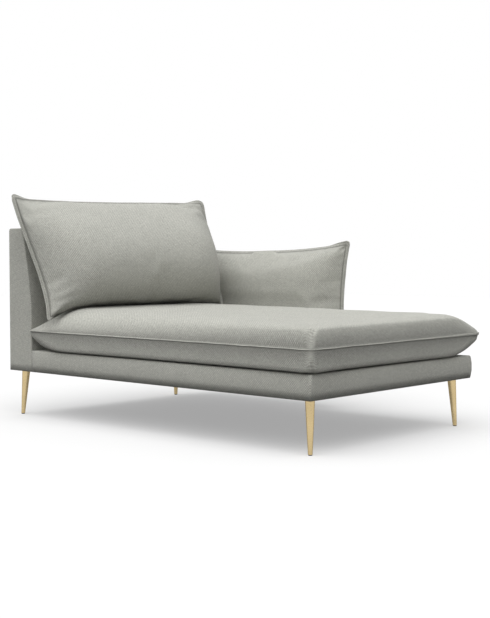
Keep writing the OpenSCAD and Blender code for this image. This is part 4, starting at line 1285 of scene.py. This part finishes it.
class CHAISE_OT_finishes(bpy.types.Operator):
    """Makes the fabrics and gives every fitting and inner piece its finish"""

    bl_idname = "chaise.finishes"
    bl_label = "Finishes"

    def execute(self, context):
        finishes = context.scene.chaise_finishes
        woven_fabric("woven_upholstery", finishes)
        woven_fabric("woven_cushion", finishes)
        sewing_thread("sewing_thread", finishes)
        woven_tape("zip_tape", finishes)
        brass = lacquered_brass("lacquered_brass", finishes)
        steel = plated_steel("zinc_plated_steel", finishes)
        nylon = moulded_nylon("moulded_nylon", finishes)
        board = pressed_board("hardboard", finishes)
        webbing = elastic_webbing("elastic_webbing", finishes)
        lining = spun_lining("spun_underlining", finishes)
        along_y = sawn_timber("timber_lengthwise", finishes, (60, 3, 60))
        along_x = sawn_timber("timber_crosswise", finishes, (3, 60, 60))
        along_z = sawn_timber("timber_upright", finishes, (60, 60, 3))
        given = {
            brass: ("leg_open_front", "leg_arm_front", "leg_open_rear", "leg_arm_rear"),
            steel: ("rail_screws", "back_bolts", "arm_bolts", "tee_nuts", "leg_plates",
                    "plate_screws", "leg_studs"),
            nylon: ("leg_glides",),
            board: ("back_board", "arm_panels"),
            webbing: ("base_webbing", "back_webbing"),
            lining: ("dust_cloths", "arm_dust_cloth"),
            along_y: ("side_rails", "arm_top_rail", "arm_bottom_rail", "corner_blocks"),
            along_x: ("foot_rail", "rear_rail", "cross_rails", "back_top_rail", "back_seat_rail",
                      "back_lower_rail", "back_bottom_board"),
            along_z: ("back_posts", "arm_posts"),
        }
        for material, names in given.items():
            for name in names:
                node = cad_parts[name]
                node.data.materials.clear()
                node.data.materials.append(material)
        return report(self, brass)


def zip_closure(name, cushion, low, high, line, half_tape):
    """A coil zip sewn on the rear of a cushion: its tape, its teeth and its slider with a pull.

    It runs between low and high, the corners of the frame's own zip, at the height of line, on the
    cloth as that lies.
    """
    cloth = BVHTree.FromObject(bpy.data.objects[cushion], bpy.context.evaluated_depsgraph_get())
    tape_lift, tape, teeth = 0.0003, 0.0005, 150
    coil = Vector((0.0022, 0.0009, 0.0046))
    body = Vector((0.0085, 0.0024, 0.0075))
    pull = Vector((0.0050, 0.0009, 0.0240))
    overlap, closed, behind = 0.001, 0.985, 0.4

    def on_cloth(along, across=0.0):
        x = (low.x + high.x) / 2 + along * (high.x - low.x) / 2
        start = Vector((x, high.y + behind, line + across * half_tape))
        spot, normal, _, _ = cloth.ray_cast(start, Vector((0, -1, 0)))
        return spot, normal

    def on_tape(along, thickness):
        spot, normal = on_cloth(along)
        lift = tape_lift + tape + thickness / 2
        turn = normal.to_track_quat("Y", "Z").to_matrix().to_4x4()
        return Matrix.Translation(spot + normal * lift) @ turn

    def block(bm, where, size):
        bmesh.ops.create_cube(bm, size=1, matrix=where @ Matrix.Diagonal((*size, 1)))

    def tooth(bm, along):
        block(bm, on_tape(along, coil.y), coil)

    whole = bmesh.new()
    bmesh.ops.create_grid(whole, x_segments=60, y_segments=2, size=1)
    for v in whole.verts:
        spot, normal = on_cloth(v.co.x, v.co.y)
        v.co = spot + normal * tape_lift
    bmesh.ops.recalc_face_normals(whole, faces=whole.faces[:])
    bmesh.ops.solidify(whole, geom=whole.faces[:], thickness=tape)
    bmesh.ops.recalc_face_normals(whole, faces=whole.faces[:])
    row = repeated([2 * (k + 0.5) / teeth - 1 for k in range(teeth)], tooth)
    slider = bmesh.new()
    seat = on_tape(closed, body.y)
    block(slider, seat, body)
    hung = seat @ Matrix.Translation((0, body.y / 2 - pull.y / 2, -body.z / 2 - pull.z / 2 + overlap))
    block(slider, hung, pull)
    bevel(slider, slider.edges[:], 0.0003, segments=2)
    for number, part in enumerate((row, slider), start=1):
        for face in part.faces:
            face.material_index = number
        merge_into(whole, part)
    piece = piece_of(name, whole, bpy.data.materials["zip_tape"], smooth=False)
    for material in ("moulded_nylon", "zinc_plated_steel"):
        piece.data.materials.append(bpy.data.materials[material])
    return piece


class CHAISE_OT_zips(bpy.types.Operator):
    """Closes both cushions at the rear with coil zips"""

    bl_idname = "chaise.zips"
    bl_label = "Zips"

    def execute(self, context):
        half_tape, narrowed, below_seam = 0.012, 0.7, 0.016
        low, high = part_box("back_cushion_zip")
        first = zip_closure("back_cushion_closure", "back_cushion", low, high, (low.z + high.z) / 2,
                            half_tape)
        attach(first, "back_cushion")
        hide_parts("back_cushion_zip")
        low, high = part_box("seat_cushion_zip")
        line = SEAT_FLOOR + context.scene.chaise_cushions.seat_seam - below_seam
        second = zip_closure("seat_cushion_closure", "seat_cushion", low, high, line,
                             half_tape * narrowed)
        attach(second, "seat_cushion")
        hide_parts("seat_cushion_zip")
        return report(self, second)


STEPS = (CHAISE_OT_stage, CHAISE_OT_finishes, CHAISE_OT_base, CHAISE_OT_back, CHAISE_OT_arm,
         CHAISE_OT_seat_cushion, CHAISE_OT_back_cushion, CHAISE_OT_zips)
GROUPS = {
    "chaise_upholstery": CHAISE_PG_upholstery,
    "chaise_cushions": CHAISE_PG_cushions,
    "chaise_finishes": CHAISE_PG_finishes,
    "chaise_stage": CHAISE_PG_stage,
}


class CHAISE_PT_build(bpy.types.Panel):
    """Lists the steps that build the chaise longue and the sizes that they use"""

    bl_idname = "CHAISE_PT_build"
    bl_label = "Chaise longue"
    bl_space_type = "VIEW_3D"
    bl_region_type = "UI"
    bl_category = "Chaise"

    def draw(self, context):
        for step in STEPS:
            self.layout.operator(step.bl_idname)
        for name, group in GROUPS.items():
            box = self.layout.box()
            for field in group.__annotations__:
                box.prop(getattr(context.scene, name), field)


def register():
    for cls in (*GROUPS.values(), *STEPS, CHAISE_PT_build):
        bpy.utils.register_class(cls)
    for name, group in GROUPS.items():
        setattr(bpy.types.Scene, name, PointerProperty(type=group))


def unregister():
    for name in GROUPS:
        delattr(bpy.types.Scene, name)
    for cls in reversed((*GROUPS.values(), *STEPS, CHAISE_PT_build)):
        bpy.utils.unregister_class(cls)


def main():
    """Builds every piece in order."""
    register()
    for step in STEPS:
        family, action = step.bl_idname.split(".")
        getattr(getattr(bpy.ops, family), action)()


if __name__ == "__main__":
    main()
